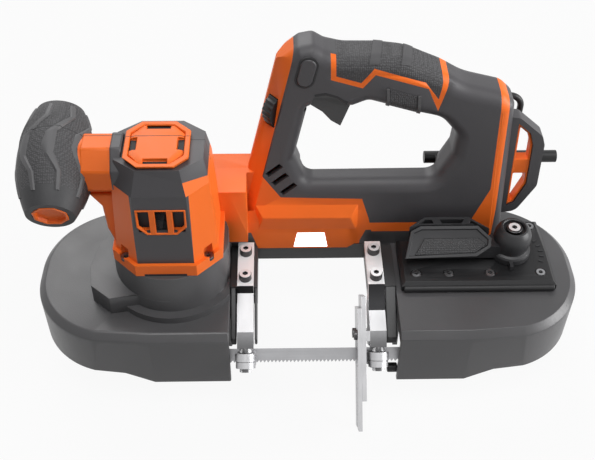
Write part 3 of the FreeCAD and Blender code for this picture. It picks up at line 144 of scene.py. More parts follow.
def moulded_grain():
    """Fine spark-eroded grain of moulded plastic, with broad cloudy drift in its gloss."""
    group, start, end = group_shell("moulded_grain", [("Grain Scale", 1400.0), ("Drift Scale", 35.0)],
                                    ["Height", "Drift", "Scuff"])
    coords = object_place(group)
    fine = noise_node(group, coords, start.outputs["Grain Scale"], 2.0, 0.6)
    drift = noise_node(group, coords, start.outputs["Drift Scale"], 4.0, 0.6)
    stretched = group.nodes.new("ShaderNodeMapping")
    stretched.inputs["Scale"].default_value = (60.0, 420.0, 260.0)
    stretched.inputs["Rotation"].default_value = (0.3, 0.5, 0.7)
    group.links.new(coords, stretched.inputs["Vector"])
    marks = noise_node(group, stretched.outputs["Vector"], 1.0, 5.0, 0.7)
    scuff = map_range(group, marks, 0.62, 0.74, 0.0, 1.0)
    group.links.new(fine, end.inputs["Height"])
    group.links.new(drift, end.inputs["Drift"])
    group.links.new(scuff, end.inputs["Scuff"])
    return group


def stipple_dots():
    """Small raised pips of a soft grip, with a mask of the gaps between the pips for painted shade."""
    group, start, end = group_shell("stipple_dots", [("Pip Scale", 620.0)], ["Height", "Hollow Shade", "Drift"])
    coords = object_place(group)
    cells = group.nodes.new("ShaderNodeTexVoronoi")
    cells.feature = "F1"
    group.links.new(coords, cells.inputs["Vector"])
    group.links.new(start.outputs["Pip Scale"], cells.inputs["Scale"])
    cells.inputs["Randomness"].default_value = 0.35
    pip = map_range(group, cells.outputs["Distance"], 0.15, 0.62, 1.0, 0.0)
    hollow_shade = map_range(group, cells.outputs["Distance"], 0.3, 0.62, 0.0, 1.0)
    drift = noise_node(group, coords, 60.0, 4.0, 0.6)
    group.links.new(pip, end.inputs["Height"])
    group.links.new(hollow_shade, end.inputs["Hollow Shade"])
    group.links.new(drift, end.inputs["Drift"])
    return group


def drawn_lines():
    """Long fine scratches of brushed or ground metal, with soft stains."""
    group, start, end = group_shell("drawn_lines",
                                    [("Along X", 30.0), ("Along Y", 900.0), ("Along Z", 900.0)],
                                    ["Lines", "Stain"])
    coords = object_place(group)
    scale = group.nodes.new("ShaderNodeCombineXYZ")
    for label, axis in (("Along X", "X"), ("Along Y", "Y"), ("Along Z", "Z")):
        group.links.new(start.outputs[label], scale.inputs[axis])
    stretch = group.nodes.new("ShaderNodeVectorMath")
    stretch.operation = "MULTIPLY"
    group.links.new(coords, stretch.inputs[0])
    group.links.new(scale.outputs["Vector"], stretch.inputs[1])
    lines = noise_node(group, stretch.outputs["Vector"], 1.0, 4.0, 0.7)
    stain = noise_node(group, coords, 90.0, 4.0, 0.6)
    group.links.new(lines, end.inputs["Lines"])
    group.links.new(stain, end.inputs["Stain"])
    return group


GRAIN = moulded_grain()
STIPPLE = stipple_dots()
LINES = drawn_lines()
GRAIN_DEPTH, PIP_DEPTH, LINE_DEPTH = 0.0002, 0.0004, 0.0001
DRIFT_SCALE = 40.0
SCUFF_POLISH = -0.05
MASK_LOW, MASK_HIGH = 0.3, 0.7


def start_material(name, roughness, metallic, specular):
    material = bpy.data.materials.new(name)
    material.use_nodes = True
    tree = material.node_tree
    shader = tree.nodes["Principled BSDF"]
    shader.inputs["Roughness"].default_value = roughness
    shader.inputs["Metallic"].default_value = metallic
    shader.inputs["Specular IOR Level"].default_value = specular
    return material, tree, shader


def tint(tree, factor, low, high):
    node = tree.nodes.new("ShaderNodeMix")
    node.data_type = "RGBA"
    tree.links.new(factor, node.inputs["Factor"])
    node.inputs["A"].default_value = (*low, 1.0)
    node.inputs["B"].default_value = (*high, 1.0)
    return node.outputs["Result"]


def use_group(tree, group, values):
    node = tree.nodes.new("ShaderNodeGroup")
    node.node_tree = group
    for label, value in values.items():
        node.inputs[label].default_value = value
    return node


def add_bump(tree, shader, height, strength, distance):
    bump = tree.nodes.new("ShaderNodeBump")
    bump.inputs["Strength"].default_value = strength
    bump.inputs["Distance"].default_value = distance
    tree.links.new(height, bump.inputs["Height"])
    tree.links.new(bump.outputs["Normal"], shader.inputs["Normal"])


def spread_color(tree, shader, mask, color, low, high):
    """Base colour that runs between two strengths of one tone."""
    weak, strong = (tuple(min(1.0, c * share) for c in color) for share in (low, high))
    tree.links.new(tint(tree, mask, weak, strong), shader.inputs["Base Color"])


def uneven_gloss(tree, mask, roughness, less, more):
    return map_range(tree, mask, MASK_LOW, MASK_HIGH, roughness - less, roughness + more)


def moulded(name, color, roughness, grain_scale, grain, spread=0.12, specular=0.5):
    """Moulded plastic with fine grain, uneven gloss and faint handling marks."""
    material, tree, shader = start_material(name, roughness, 0.0, specular)
    grains = use_group(tree, GRAIN, {"Grain Scale": grain_scale, "Drift Scale": DRIFT_SCALE})
    mixed = mixed_masks(tree, grains.outputs["Drift"], 0.7, grains.outputs["Height"])
    spread_color(tree, shader, mixed, color, 1 - spread, 1 + spread)
    gloss = math_node(tree, "ADD", uneven_gloss(tree, mixed, roughness, 0.05, 0.06),
                      math_node(tree, "MULTIPLY", grains.outputs["Scuff"], SCUFF_POLISH))
    tree.links.new(gloss, shader.inputs["Roughness"])
    add_bump(tree, shader, grains.outputs["Height"], grain, GRAIN_DEPTH)
    return material


def stippled(name, color, roughness, pip_scale, depth):
    """Soft grip rubber with raised pips; the pips are painted lighter and the gaps between them darker, as painted
    shade.
    """
    material, tree, shader = start_material(name, roughness, 0.0, 0.4)
    pips = use_group(tree, STIPPLE, {"Pip Scale": pip_scale})
    # Painted shade: lighter on the pip tops, darker in the gaps between the pips
    spread_color(tree, shader, pips.outputs["Hollow Shade"], color, 1.15, 0.55)
    tree.links.new(uneven_gloss(tree, pips.outputs["Drift"], roughness, 0.05, 0.08), shader.inputs["Roughness"])
    add_bump(tree, shader, pips.outputs["Height"], depth, PIP_DEPTH)
    return material


def metal(name, color, roughness, along=(30.0, 900.0, 900.0), spread=0.12, depth=0.12, metallic=1.0):
    """Ground or brushed metal, lined along one direction."""
    material, tree, shader = start_material(name, roughness, metallic, 0.5)
    lines = use_group(tree, LINES, {"Along X": along[0], "Along Y": along[1], "Along Z": along[2]})
    mixed = mixed_masks(tree, lines.outputs["Lines"], 0.6, lines.outputs["Stain"])
    spread_color(tree, shader, mixed, color, 1 - spread, 1 + spread)
    tree.links.new(uneven_gloss(tree, mixed, roughness, 0.06, 0.1), shader.inputs["Roughness"])
    add_bump(tree, shader, lines.outputs["Lines"], depth, LINE_DEPTH)
    return material


def lamp_lens():
    """Cloudy lens of the work light, lit from inside."""
    material, tree, shader = start_material("lit_lens", 0.2, 0.0, 0.5)
    cloud = noise_node(tree, object_place(tree), 120.0, 2.0, 0.5)
    for label, cool in (("Base Color", (0.9, 0.92, 0.95)), ("Emission Color", (0.95, 0.97, 1.0))):
        tree.links.new(tint(tree, cloud, cool, (1.0, 1.0, 1.0)), shader.inputs[label])
    shader.inputs["Emission Strength"].default_value = 3.0
    return material


CAST, TURNED = (500.0, 500.0, 500.0), (600.0, 600.0, 600.0)
orange = moulded("orange_shell", (0.84, 0.155, 0.020), 0.42, 1300.0, 0.16, 0.05, 0.22)
grey = moulded("dark_grey_shell", (0.052, 0.050, 0.054), 0.46, 1500.0, 0.35, 0.12, 0.4)
grey_guard = moulded("dark_grey_guard", (0.070, 0.069, 0.072), 0.38, 1100.0, 0.30, 0.12, 0.45)
black = moulded("black_fitting", (0.014, 0.014, 0.015), 0.40, 1600.0, 0.2, 0.12, 0.32)
# Near-black finish: on the seam lines it is the moulding's own dark joint colour; in slots, vents and gaps it is
# painted shade
seam_and_gap_shade = moulded("dark_seam_and_painted_gap_shade", (0.006, 0.006, 0.007), 0.7, 1600.0, 0.2)
soft_grip = stippled("soft_grip", (0.060, 0.059, 0.062), 0.62, 760.0, 0.5)
soft_plain = moulded("soft_grip_plain", (0.075, 0.074, 0.077), 0.55, 1800.0, 0.3)
soft_band = moulded("soft_grip_band", (0.062, 0.061, 0.064), 0.58, 1800.0, 0.35, 0.12, 0.35)
trigger_black = moulded("trigger_black", (0.030, 0.030, 0.031), 0.42, 1500.0, 0.25)
soft_end = moulded("soft_grip_end", (0.040, 0.040, 0.042), 0.55, 1800.0, 0.3, 0.12, 0.35)
tyre_rubber = moulded("tyre_rubber", (0.02, 0.02, 0.02), 0.7, 1800.0, 0.3)
cast_metal = metal("blasted_casting", (0.62, 0.62, 0.63), 0.38, CAST, 0.10, 0.2)
ground_steel = metal("ground_steel", (0.56, 0.56, 0.57), 0.34, (700.0, 40.0, 40.0))
blade_steel = metal("blade_steel", (0.33, 0.33, 0.34), 0.38, (20.0, 900.0, 900.0))
dark_bolt = metal("blackened_bolt", (0.075, 0.073, 0.075), 0.34, (900.0, 900.0, 60.0))
painted_iron = moulded("painted_casting", (0.030, 0.030, 0.031), 0.45, 700.0, 0.5)
copper = metal("contact_copper", (0.72, 0.40, 0.20), 0.3)
# Blade guide finishes: a bright copy for the top faces as painted light, and darker copies for the lower flats,
# the upright faces and the sloped faces as painted shade
guide_top_painted_lit = metal("guide_top_painted_lit", (0.90, 0.90, 0.91), 0.42, (500.0, 40.0, 500.0), 0.06, 0.1, 0.08)
guide_foot_painted_shade = metal("guide_foot_painted_shade", (0.56, 0.56, 0.57), 0.40, (500.0, 40.0, 500.0), 0.08, 0.1, 0.25)
guide_side_painted_shade = metal("guide_side_painted_shade", (0.12, 0.12, 0.123), 0.45, CAST, 0.12, 0.25)
guide_slope_painted_shade = metal("guide_slope_painted_shade", (0.022, 0.022, 0.023), 0.45, CAST, 0.12, 0.25)
bright_steel = metal("bright_steel", (0.86, 0.86, 0.87), 0.34, TURNED, 0.05, 0.08, 0.3)
roller_steel = metal("roller_steel", (0.46, 0.46, 0.47), 0.40, TURNED, 0.08, 0.08)
stop_steel = metal("stop_steel", (0.49, 0.49, 0.50), 0.36, (500.0, 60.0, 60.0), 0.10, 0.1)
screw_steel = metal("screw_steel", (0.30, 0.30, 0.31), 0.30, TURNED, 0.10, 0.08)
motor_core = metal("motor_laminations", (0.05, 0.05, 0.052), 0.5, (60.0, 60.0, 1600.0), 0.2, 0.3)
lever_black = moulded("lever_black", (0.028, 0.028, 0.030), 0.40, 1500.0, 0.25, 0.12, 0.34)
thumb_grip = stippled("thumb_grip", (0.028, 0.028, 0.030), 0.55, 900.0, 0.7)
lens = lamp_lens()
resin_board = moulded("resin_board", (0.02, 0.10, 0.05), 0.35, 1200.0, 0.1)

FINISH = {"orange": orange, "grey": grey, "black": black, "rubber": soft_grip, "tyre": tyre_rubber,
          "cast": cast_metal, "steel": ground_steel, "bolt": dark_bolt, "iron": painted_iron, "copper": copper,
          "lens": lens, "board": resin_board}
slot_of = {item["node"]: item["material_slot"] for item in frame["record"]["subparts"]}


# Pieces
SMOOTH_BELOW, SOFTEN_ABOVE = 32, math.radians(38)
MERGE_WITHIN, FLAT_WITHIN = 2e-6, math.radians(0.4)


def add_piece(name, shape, material, body, angle=SMOOTH_BELOW):
    mesh = bpy.data.meshes.new(name)
    shape.to_mesh(mesh)
    shape.free()
    mesh.shade_smooth()
    mesh.set_sharp_from_angle(angle=math.radians(angle))
    mesh.materials.append(material)
    piece = bpy.data.objects.new(name, mesh)
    bpy.context.scene.collection.objects.link(piece)
    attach(piece, body)
    return piece


def soften(piece, width, segments=2):
    """Rounds a piece's edges by a width in millimetres."""
    edge = piece.modifiers.new("edge", "BEVEL")
    edge.width = width * MM
    edge.segments = segments
    edge.limit_method = "ANGLE"
    edge.angle_limit = SOFTEN_ABOVE
    edge.profile = 0.5
    edge.material = -1
    edge.miter_outer = "MITER_ARC"


def node_shape(node):
    """Merged copy of a node's mesh with its flat faces made whole."""
    shape = bmesh.new()
    shape.from_mesh(nodes[node].data)
    bmesh.ops.remove_doubles(shape, verts=shape.verts, dist=MERGE_WITHIN)
    bmesh.ops.dissolve_limit(shape, angle_limit=FLAT_WITHIN, verts=shape.verts, edges=shape.edges,
                             delimit={"NORMAL"})
    return shape


def dressed(node, material=None, shape=None, more=(), segments=2):
    """Skin that stands for a node, with softened edges and any further finishes its faces name."""
    body = nodes[node]["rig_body"]
    slot = slot_of[node]
    piece = add_piece(node + "_skin", shape or node_shape(node), material or FINISH[slot], body)
    for finish in more:
        piece.data.materials.append(finish)
    if node in EDGES:
        soften(piece, EDGES[node], segments)
    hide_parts(node)


def on_node(name, shape, material, node, angle=SMOOTH_BELOW):
    """New piece that rides with a node."""
    return add_piece(name, shape, material, nodes[node]["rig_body"], angle)


def seamed_piece(name, shape, material, node, angle=25):
    """New piece with the dark line where the two moulded halves meet."""
    piece = on_node(name, seamed(shape), material, node, angle)
    piece.data.materials.append(seam_and_gap_shade)
    return piece


def add_box(shape, low, high):
    low, high = Vector(low), Vector(high)
    size = high - low
    bmesh.ops.create_cube(shape, size=1.0,
                          matrix=Matrix.Translation((low + high) / 2) @ Matrix.Diagonal((*size, 1.0)))


def box_row(spans):
    """Boxes in the drawing's millimetres, each given by its lowest and highest corner."""
    shape = bmesh.new()
    for low, high in spans:
        add_box(shape, at(*low), at(*high))
    return shape


def draw_out(shape):
    """Draws a shape's faces out and gives the new vertices, which still lie on the old ones."""
    drawn = bmesh.ops.extrude_face_region(shape, geom=shape.faces[:], use_keep_orig=True)
    return [v for v in drawn["geom"] if isinstance(v, bmesh.types.BMVert)]


def face_out(shape):
    bmesh.ops.recalc_face_normals(shape, faces=shape.faces)


def thicken(shape, along):
    """Draws a flat shape out along a direction into a closed one."""
    bmesh.ops.translate(shape, vec=along, verts=draw_out(shape))
    face_out(shape)


def dish(shape, facing, rim, slope, depth):
    """Sinks the face that looks a given way, inside a rim."""
    face = max(shape.faces, key=lambda f: f.normal.dot(facing))
    bmesh.ops.inset_region(shape, faces=[face], thickness=rim * MM)
    bmesh.ops.inset_region(shape, faces=[face], thickness=slope * MM, depth=-depth * MM)


def outline_plate(corners, along):
    """Closed plate with the given corners, drawn out along a direction."""
    shape = bmesh.new()
    shape.faces.new([shape.verts.new(corner) for corner in corners])
    thicken(shape, along)
    return shape


def rectangle(left, right, low, high):
    return [(left, low), (right, low), (right, high), (left, high)]


def rod(middle, radius, length, segments, spin=0.0):
    """Rod that lies along X, round or with flat sides."""
    shape = bmesh.new()
    bmesh.ops.create_cone(shape, cap_ends=True, segments=segments, radius1=radius * MM, radius2=radius * MM,
                          depth=length * MM)
    lie = Matrix.Translation(at(*middle)) @ Matrix.Rotation(math.pi / 2, 4, "Y")
    bmesh.ops.transform(shape, matrix=lie @ Matrix.Rotation(spin, 4, "Z"), verts=shape.verts)
    return shape


def edge_loop(shape, points):
    verts = [shape.verts.new(point) for point in points]
    return verts + [shape.edges.new(pair) for pair in zip(verts, verts[1:] + verts[:1])]


def slice_plane(shape, place, out, **clear):
    """Cuts through all of a shape along a plane."""
    bmesh.ops.bisect_plane(shape, geom=shape.verts[:] + shape.edges[:] + shape.faces[:], plane_co=place,
                           plane_no=out, **clear)


def close_holes(shape):
    bmesh.ops.holes_fill(shape, edges=[e for e in shape.edges if e.is_boundary], sides=0)


def joined_shapes(shapes):
    whole = bmesh.new()
    for shape in shapes:
        part = bpy.data.meshes.new("part")
        shape.to_mesh(part)
        shape.free()
        whole.from_mesh(part)
        bpy.data.meshes.remove(part)
    return whole


def carved(blank, cutter):
    """The blank with the cutter's volume taken out of it."""
    holders = []
    for label, shape in (("blank", blank), ("cutter", cutter)):
        mesh = bpy.data.meshes.new(label)
        shape.to_mesh(mesh)
        shape.free()
        holder = bpy.data.objects.new(label, mesh)
        bpy.context.scene.collection.objects.link(holder)
        holders.append(holder)
    cut = holders[0].modifiers.new("cut", "BOOLEAN")
    cut.operation = "DIFFERENCE"
    cut.object = holders[1]
    bpy.context.view_layer.update()
    seen = holders[0].evaluated_get(bpy.context.evaluated_depsgraph_get())
    result = bpy.data.meshes.new_from_object(seen)
    shape = bmesh.new()
    shape.from_mesh(result)
    bpy.data.meshes.remove(result)
    for holder in holders:
        mesh = holder.data
        bpy.data.objects.remove(holder)
        bpy.data.meshes.remove(mesh)
    return shape


def outline_walls(corners, facing):
    """For each side of a convex outline seen along a direction: a place on it, and the way out."""
    middle = sum(corners, Vector()) / len(corners)
    walls = []
    for first, second in zip(corners, corners[1:] + corners[:1]):
        out = (second - first).cross(facing).normalized()
        walls.append((first, -out if out.dot(middle - first) > 0 else out))
    return walls


def paint_zone(shape, corners, facing, index):
    """Gives the faces inside a convex outline another finish."""
    walls = outline_walls(corners, facing)
    for place, out in walls:
        slice_plane(shape, place, out)
    for face in shape.faces:
        spot = face.calc_center_median()
        if all((spot - place).dot(out) < 0 for place, out in walls):
            face.material_index = index


PATCH_FACING, PATCH_SINK = 0.25, 0.3


def raised_patch(node, corners, lift, facing):
    """Thin pad on a node's surface inside a convex outline, on the faces that look the given way."""
    shape = node_shape(node)
    for place, out in outline_walls(corners, facing):
        slice_plane(shape, place, out, clear_outer=True)
    turned_away = [f for f in shape.faces if f.normal.dot(facing) < PATCH_FACING]
    bmesh.ops.delete(shape, geom=turned_away, context="FACES")
    bmesh.ops.delete(shape, geom=[v for v in shape.verts if not v.link_faces], context="VERTS")
    shape.normal_update()
    ground = shape.verts[:]
    normals = [v.normal.copy() for v in ground]
    top = draw_out(shape)
    for low, high, normal in zip(ground, pair_up(ground, top), normals):
        high.co = low.co + normal * (lift * MM)
        low.co = low.co - normal * PATCH_SINK * MM
    face_out(shape)
    return shape


def pair_up(ground, top):
    """The raised vertex above each ground vertex, found by place."""
    places = {tuple(round(c, 7) for c in v.co): v for v in top}
    return [places[tuple(round(c, 7) for c in v.co)] for v in ground]


# Edge roundings in millimetres, and the nodes whose finish is not the one their slot gives
ROUNDINGS = {
    1.2: "left_wheel_guard right_wheel_guard knob_grip guard_loop trigger",
    1.0: "motor_collar",
    0.8: "main_frame gearbox_housing motor_housing_front motor_housing_rear body_front body_rear "
         "lock_button hook_bar",
    0.7: "tension_lever",
    0.6: "motor_end_cap knob_core loop_liner",
    0.5: "battery_foot left_blade_guide right_blade_guide",
    0.4: "motor_front_panel handle_front handle_rear tension_plate work_light lever_bolt",
    0.3: "end_stripe speed_dial stop_bracket work_stop guide_bolts",
    0.2: "case_screws",
}
EDGES = {node: width for width, group in ROUNDINGS.items() for node in group.split()}
SPECIAL = {"left_wheel_guard": grey_guard, "right_wheel_guard": grey_guard, "saw_blade": blade_steel,
           "motor_stator": motor_core, "motor_rotor": motor_core, "trigger": trigger_black,
           "work_stop": stop_steel, "stop_bracket": stop_steel,
           "roller_left_front": roller_steel, "roller_left_rear": roller_steel,
           "roller_right_front": roller_steel, "roller_right_rear": roller_steel}


# Motor tower
MOTOR_X, MOTOR_Y = -92.5, -45.0
CAP_X, CAP_Y = MOTOR_X - 1.4, MOTOR_Y - 2.2
PARTING_Y, SEAM = -40.0, 0.5
TOWER_FRONT_LOW, TOWER_FRONT_HIGH = -78.0, -75.0
TOWER_LOW, TOWER_HIGH = 100.0, 154.0
VENT_LEFT, VENT_RIGHT, VENT_LOW, VENT_HIGH = -107.0, -78.0, 126.5, 143.5
VENT_BAR, VENT_BACK, VENT_PLATE = 3.5, -72.2, 0.6
CAP_FLOOR, CAP_TOP = 171.0, 173.0
CAP_RIM, CAP_SPREAD = 169.9, 1.12
COLLAR_RIM, COLLAR_INNER, COLLAR_SPREAD = 169.0, 20.0, 3.2
COLLAR_PAINT, COLLAR_SLANT = 143.0, Vector((0.25, 0, 1))
GUARD_TOP, SKIRT_TOP, SHOULDER_TOP, FOOT_TOP = 55.0, 60.1, 70.5, 89.5
DRUM_RADIUS, SKIRT_RADIUS, DRUM_WALL = 39.06, 45.06, 3.0
FOOT_START, FOOT_SWEEP, FOOT_STEPS = math.radians(55), math.radians(-121), 72
SHOULDER_CORNER, SHOULDER_TIP, SHOULDER_END = (-132.26, -80.84), -87.0, -74.0
SHOULDER_NEAR = 0.15
FLANGE_HALF = 35.5


def tower_front(z):
    """How far forward the sloping front of the tower stands at a height."""
    share = (z - TOWER_LOW) / (TOWER_HIGH - TOWER_LOW)
    return TOWER_FRONT_LOW + (TOWER_FRONT_HIGH - TOWER_FRONT_LOW) * share


def seamed(shape):
    """Marks the faces in the narrow band where two moulded halves meet."""
    middle = at(0, PARTING_Y, 0).y
    half = SEAM * MM / 2
    for side in (-1, 1):
        slice_plane(shape, (0, middle + side * half, 0), (0, 1, 0))
    for face in shape.faces:
        if all(abs(v.co.y - middle) < half * 1.01 for v in face.verts):
            face.material_index = 1
    return shape


def dress_gearbox():
    """Gearbox cover whose shoulder runs into the drum at the front, and the drum's foot that closes it."""
    shape = node_shape("gearbox_housing")
    left, corner = SHOULDER_CORNER
    for vert in shape.verts:
        spot = (vert.co - drawing_home) / MM
        share = (spot.x - left) / (MOTOR_X - left)
        on_front = abs(spot.y - corner - share * (SHOULDER_TIP - corner)) < SHOULDER_NEAR
        if on_front and 0.01 < share < 1.01 and spot.z < SHOULDER_TOP:
            vert.co.y = at(0, corner + share * (SHOULDER_END - corner), 0).y
    dressed("gearbox_housing", grey_guard, shape)
    inside = DRUM_RADIUS - DRUM_WALL
    profile = [(inside, GUARD_TOP), (SKIRT_RADIUS, GUARD_TOP), (SKIRT_RADIUS, SKIRT_TOP),
               (DRUM_RADIUS, SKIRT_TOP), (DRUM_RADIUS, FOOT_TOP), (inside, FOOT_TOP)]
    foot = bmesh.new()
    loop = edge_loop(foot, [at(MOTOR_X, MOTOR_Y - radius, z) for radius, z in profile])
    centre = at(MOTOR_X, MOTOR_Y, 0)
    bmesh.ops.rotate(foot, cent=centre, matrix=Matrix.Rotation(FOOT_START, 3, "Z"), verts=foot.verts)
    bmesh.ops.spin(foot, geom=loop, cent=centre, axis=UP, angle=FOOT_SWEEP, steps=FOOT_STEPS)
    close_holes(foot)
    face_out(foot)
    on_node("drum_foot", foot, grey_guard, "gearbox_housing")


def dress_collar():
    """Grey collar whose sloping right side is part of the orange shell."""
    shape = node_shape("motor_collar")
    middle = at(MOTOR_X, 0, 0).x
    rim_level = at(0, 0, COLLAR_RIM).z
    paint_edge = at(0, 0, COLLAR_PAINT)
    for vert in shape.verts:
        if vert.co.z > rim_level and abs(vert.co.x - middle) > COLLAR_INNER * MM:
            vert.co.x += math.copysign(COLLAR_SPREAD * MM, vert.co.x - middle)
    slice_plane(shape, paint_edge, COLLAR_SLANT)
    for face in shape.faces:
        spot = face.calc_center_median()
        below = (spot - paint_edge).dot(COLLAR_SLANT) < 0
        slopes_right = face.normal.x > 0.35 and face.normal.z < 0.9
        if slopes_right and spot.x > middle and below:
            face.material_index = 2
    dressed("motor_collar", grey, seamed(shape), (seam_and_gap_shade, orange))


def cap_outline(across, deep, corner, z):
    """Eight corners round the end cap's middle."""
    steps = [(-corner, -deep), (corner, -deep), (across, -corner), (across, corner),
             (corner, deep), (-corner, deep), (-across, corner), (-across, -corner)]
    return [at(CAP_X + dx, CAP_Y + dy, z) for dx, dy in steps]


def dress_cap():
    """End cap with its rim spread out over the collar."""
    shape = node_shape("motor_end_cap")
    middle = at(MOTOR_X, MOTOR_Y, CAP_RIM)
    spread_to = at(CAP_X, CAP_Y, CAP_RIM)
    for vert in shape.verts:
        if vert.co.z > middle.z:
            vert.co.x = spread_to.x + (vert.co.x - middle.x) * CAP_SPREAD
            vert.co.y = spread_to.y + (vert.co.y - middle.y) * CAP_SPREAD
    dressed("motor_end_cap", orange, seamed(shape), (seam_and_gap_shade,))


def cap_centre():
    """Raised middle of the end cap, with a slot through it on each of its four sides and dark floors in the slots
    as painted shade.
    """
    across, deep, corner = 16.4, 18.3, 9.6
    sunk, thick, slope, rise = 0.2, 1.6, 2.4, 0.9
    slot, slot_y = 4.0, corner * 0.62
    slot_x = slot_y * 1.25
    centre = outline_plate(cap_outline(across, deep, corner, CAP_FLOOR - sunk), UP * thick * MM)
    top = max(centre.faces, key=lambda f: f.calc_center_median().z)
    bmesh.ops.inset_region(centre, faces=[top], thickness=slope * MM, depth=rise * MM)
    spans = []
    for side in (-1, 1):
        near, far = sorted((side * (across - slot), side * (across + 1)))
        spans.append((CAP_X + near, CAP_X + far, CAP_Y - slot_y, CAP_Y + slot_y))
        near, far = sorted((side * (deep - slot), side * (deep + 1)))
        spans.append((CAP_X - slot_x, CAP_X + slot_x, CAP_Y + near, CAP_Y + far))
    cuts = box_row([((left, front, CAP_FLOOR), (right, back, CAP_TOP + 2))
                    for left, right, front, back in spans])
    soften(seamed_piece("end_cap_centre", carved(centre, cuts), orange, "motor_end_cap"), 0.35)
    # Dark floors in the slots: painted shade
    near, far, proud = 0.3, 0.6, 0.25
    slot_shade_floors = box_row([((left + near, front + near, CAP_FLOOR - near), (right - far, back - far, CAP_FLOOR + proud))
                      for left, right, front, back in spans])
    on_node("end_cap_slot_shade", slot_shade_floors, seam_and_gap_shade, "motor_end_cap")


def vent_frame():
    """Orange moulded frame with two bars round the cooling vents, with dark plates behind the openings as painted
    shade.
    """
    rim, foot, proud, sunk, bar_sunk, lap = 1.5, 6.0, 0.6, 1.5, 1.4, 0.1
    left, right, low, high = VENT_LEFT - 0.9, VENT_RIGHT + 0.9, VENT_LOW - 2.0, VENT_HIGH + 0.6
    bar_low, bar_high = VENT_LOW - 1, high - 0.2
    outer = [(left, high), (right, high), (right, low + foot), (right - foot, low),
             (left + foot, low), (left, low + foot)]
    frame_ring = bmesh.new()
    face = frame_ring.faces.new([frame_ring.verts.new(at(x, tower_front(z) + sunk, z)) for x, z in outer])
    face.normal_update()
    bmesh.ops.inset_region(frame_ring, faces=[face], thickness=rim * MM, use_boundary=True)
    bmesh.ops.delete(frame_ring, geom=[face], context="FACES")
    thicken(frame_ring, Vector((0, -(sunk + proud) * MM, 0)))
    gap = (VENT_RIGHT - VENT_LEFT - 2 * VENT_BAR) / 3
    parts, depths = [frame_ring], []
    for i in range(3):
        start = VENT_LEFT + i * (gap + VENT_BAR)
        end = start + gap
        depths.append(((start + lap, VENT_BACK, VENT_LOW + lap),
                       (end - lap, VENT_BACK + VENT_PLATE, VENT_HIGH - lap)))
        if i < 2:
            bar = rectangle(end - lap, end + VENT_BAR + lap, bar_low, bar_high)
            corners = [at(x, tower_front(z) + bar_sunk, z) for x, z in bar]
            parts.append(outline_plate(corners, Vector((0, -(bar_sunk + proud) * MM, 0))))
    soften(on_node("vent_frame", joined_shapes(parts), orange, "motor_front_panel"), 0.3)
    # Dark plates behind the vent openings: painted shade
    on_node("vent_painted_shade", box_row(depths), seam_and_gap_shade, "motor_housing_front")


def flange_slot_shade():
    """Dark box on the front of the tower's foot flange, standing for a slot: painted shade."""
    front = MOTOR_Y - FLANGE_HALF
    left, right, low, high, proud, deep = -106.5, -79.5, 91.1, 92.7, 0.15, 1.0
    slot = box_row([((left, front - proud, low), (right, front + deep, high))])
    # Painted shade where the slot is
    on_node("flange_slot_shade", slot, seam_and_gap_shade, "motor_housing_front")


# Front knob
KNOB_MIDDLE = (-158.0, -45.0, 156.0)
KNOB_HALF, KNOB_RADIUS, KNOB_END_RADIUS = 36.5, 23.3, 15.0
KNOB_TILT = math.radians(20.0)
KNOB_ALONG = Vector((0, -math.cos(KNOB_TILT), -math.sin(KNOB_TILT)))
KNOB_SIDE = Vector((1, 0, 0))
KNOB_FRONT = KNOB_ALONG.cross(KNOB_SIDE)
KNOB_SMOOTH, KNOB_PLUG = 25.0, 33.3
NECK_CUFF = -122.0
RIB_STEPS = [(-33.0, -38.0, 1.9), (-23.0, -36.0, 2.1), (-10.0, -3.0, 3.6), (0.0, 0.0, 4.4), (5.0, -2.0, 3.2),
             (17.0, -20.0, 2.0), (28.0, -22.0, 1.6)]
KNOB_RIBS, RIB_FIRST = 8, 90.0
RIB_LIFT, RIB_SINK, RIB_EDGE = 0.9, 0.8, -0.15


def knob_radius(along):
    """Radius of the barrel-shaped knob at a place along it."""
    sag = KNOB_RADIUS - KNOB_END_RADIUS
    round_radius = (KNOB_HALF ** 2 + sag ** 2) / (2 * sag)
    return KNOB_RADIUS - round_radius + math.sqrt(round_radius ** 2 - along ** 2)


def knob_point(along, turn, radius):
    angle = math.radians(turn)
    out = KNOB_SIDE * math.cos(angle) + KNOB_FRONT * math.sin(angle)
    return at(*KNOB_MIDDLE) + (KNOB_ALONG * along + out * radius) * MM


def rib_step(share):
    """Place along the knob, turn and half width of a rib at a share of its length."""
    spot = share * (len(RIB_STEPS) - 1)
    first = min(int(spot), len(RIB_STEPS) - 2)
    mix = spot - first
    return [a + (b - a) * mix for a, b in zip(RIB_STEPS[first], RIB_STEPS[first + 1])]


def knob_rib(turn):
    """One wavy raised rib that runs from end to end of the knob."""
    shape = bmesh.new()
    bmesh.ops.create_grid(shape, x_segments=36, y_segments=4, size=1.0)
    for vert in shape.verts:
        along, shift, half = rib_step((vert.co.x + 1) / 2)
        across = vert.co.y
        lift = RIB_LIFT if abs(across) < 0.75 else RIB_EDGE
        radius = knob_radius(along)
        vert.co = knob_point(along, turn + shift + math.degrees(across * half / radius), radius + lift)
    middle = at(*KNOB_MIDDLE)
    for vert in draw_out(shape):
        along = (vert.co - middle).dot(KNOB_ALONG)
        vert.co += (middle + KNOB_ALONG * along - vert.co).normalized() * (RIB_LIFT + RIB_SINK) * MM
    face_out(shape)
    return shape


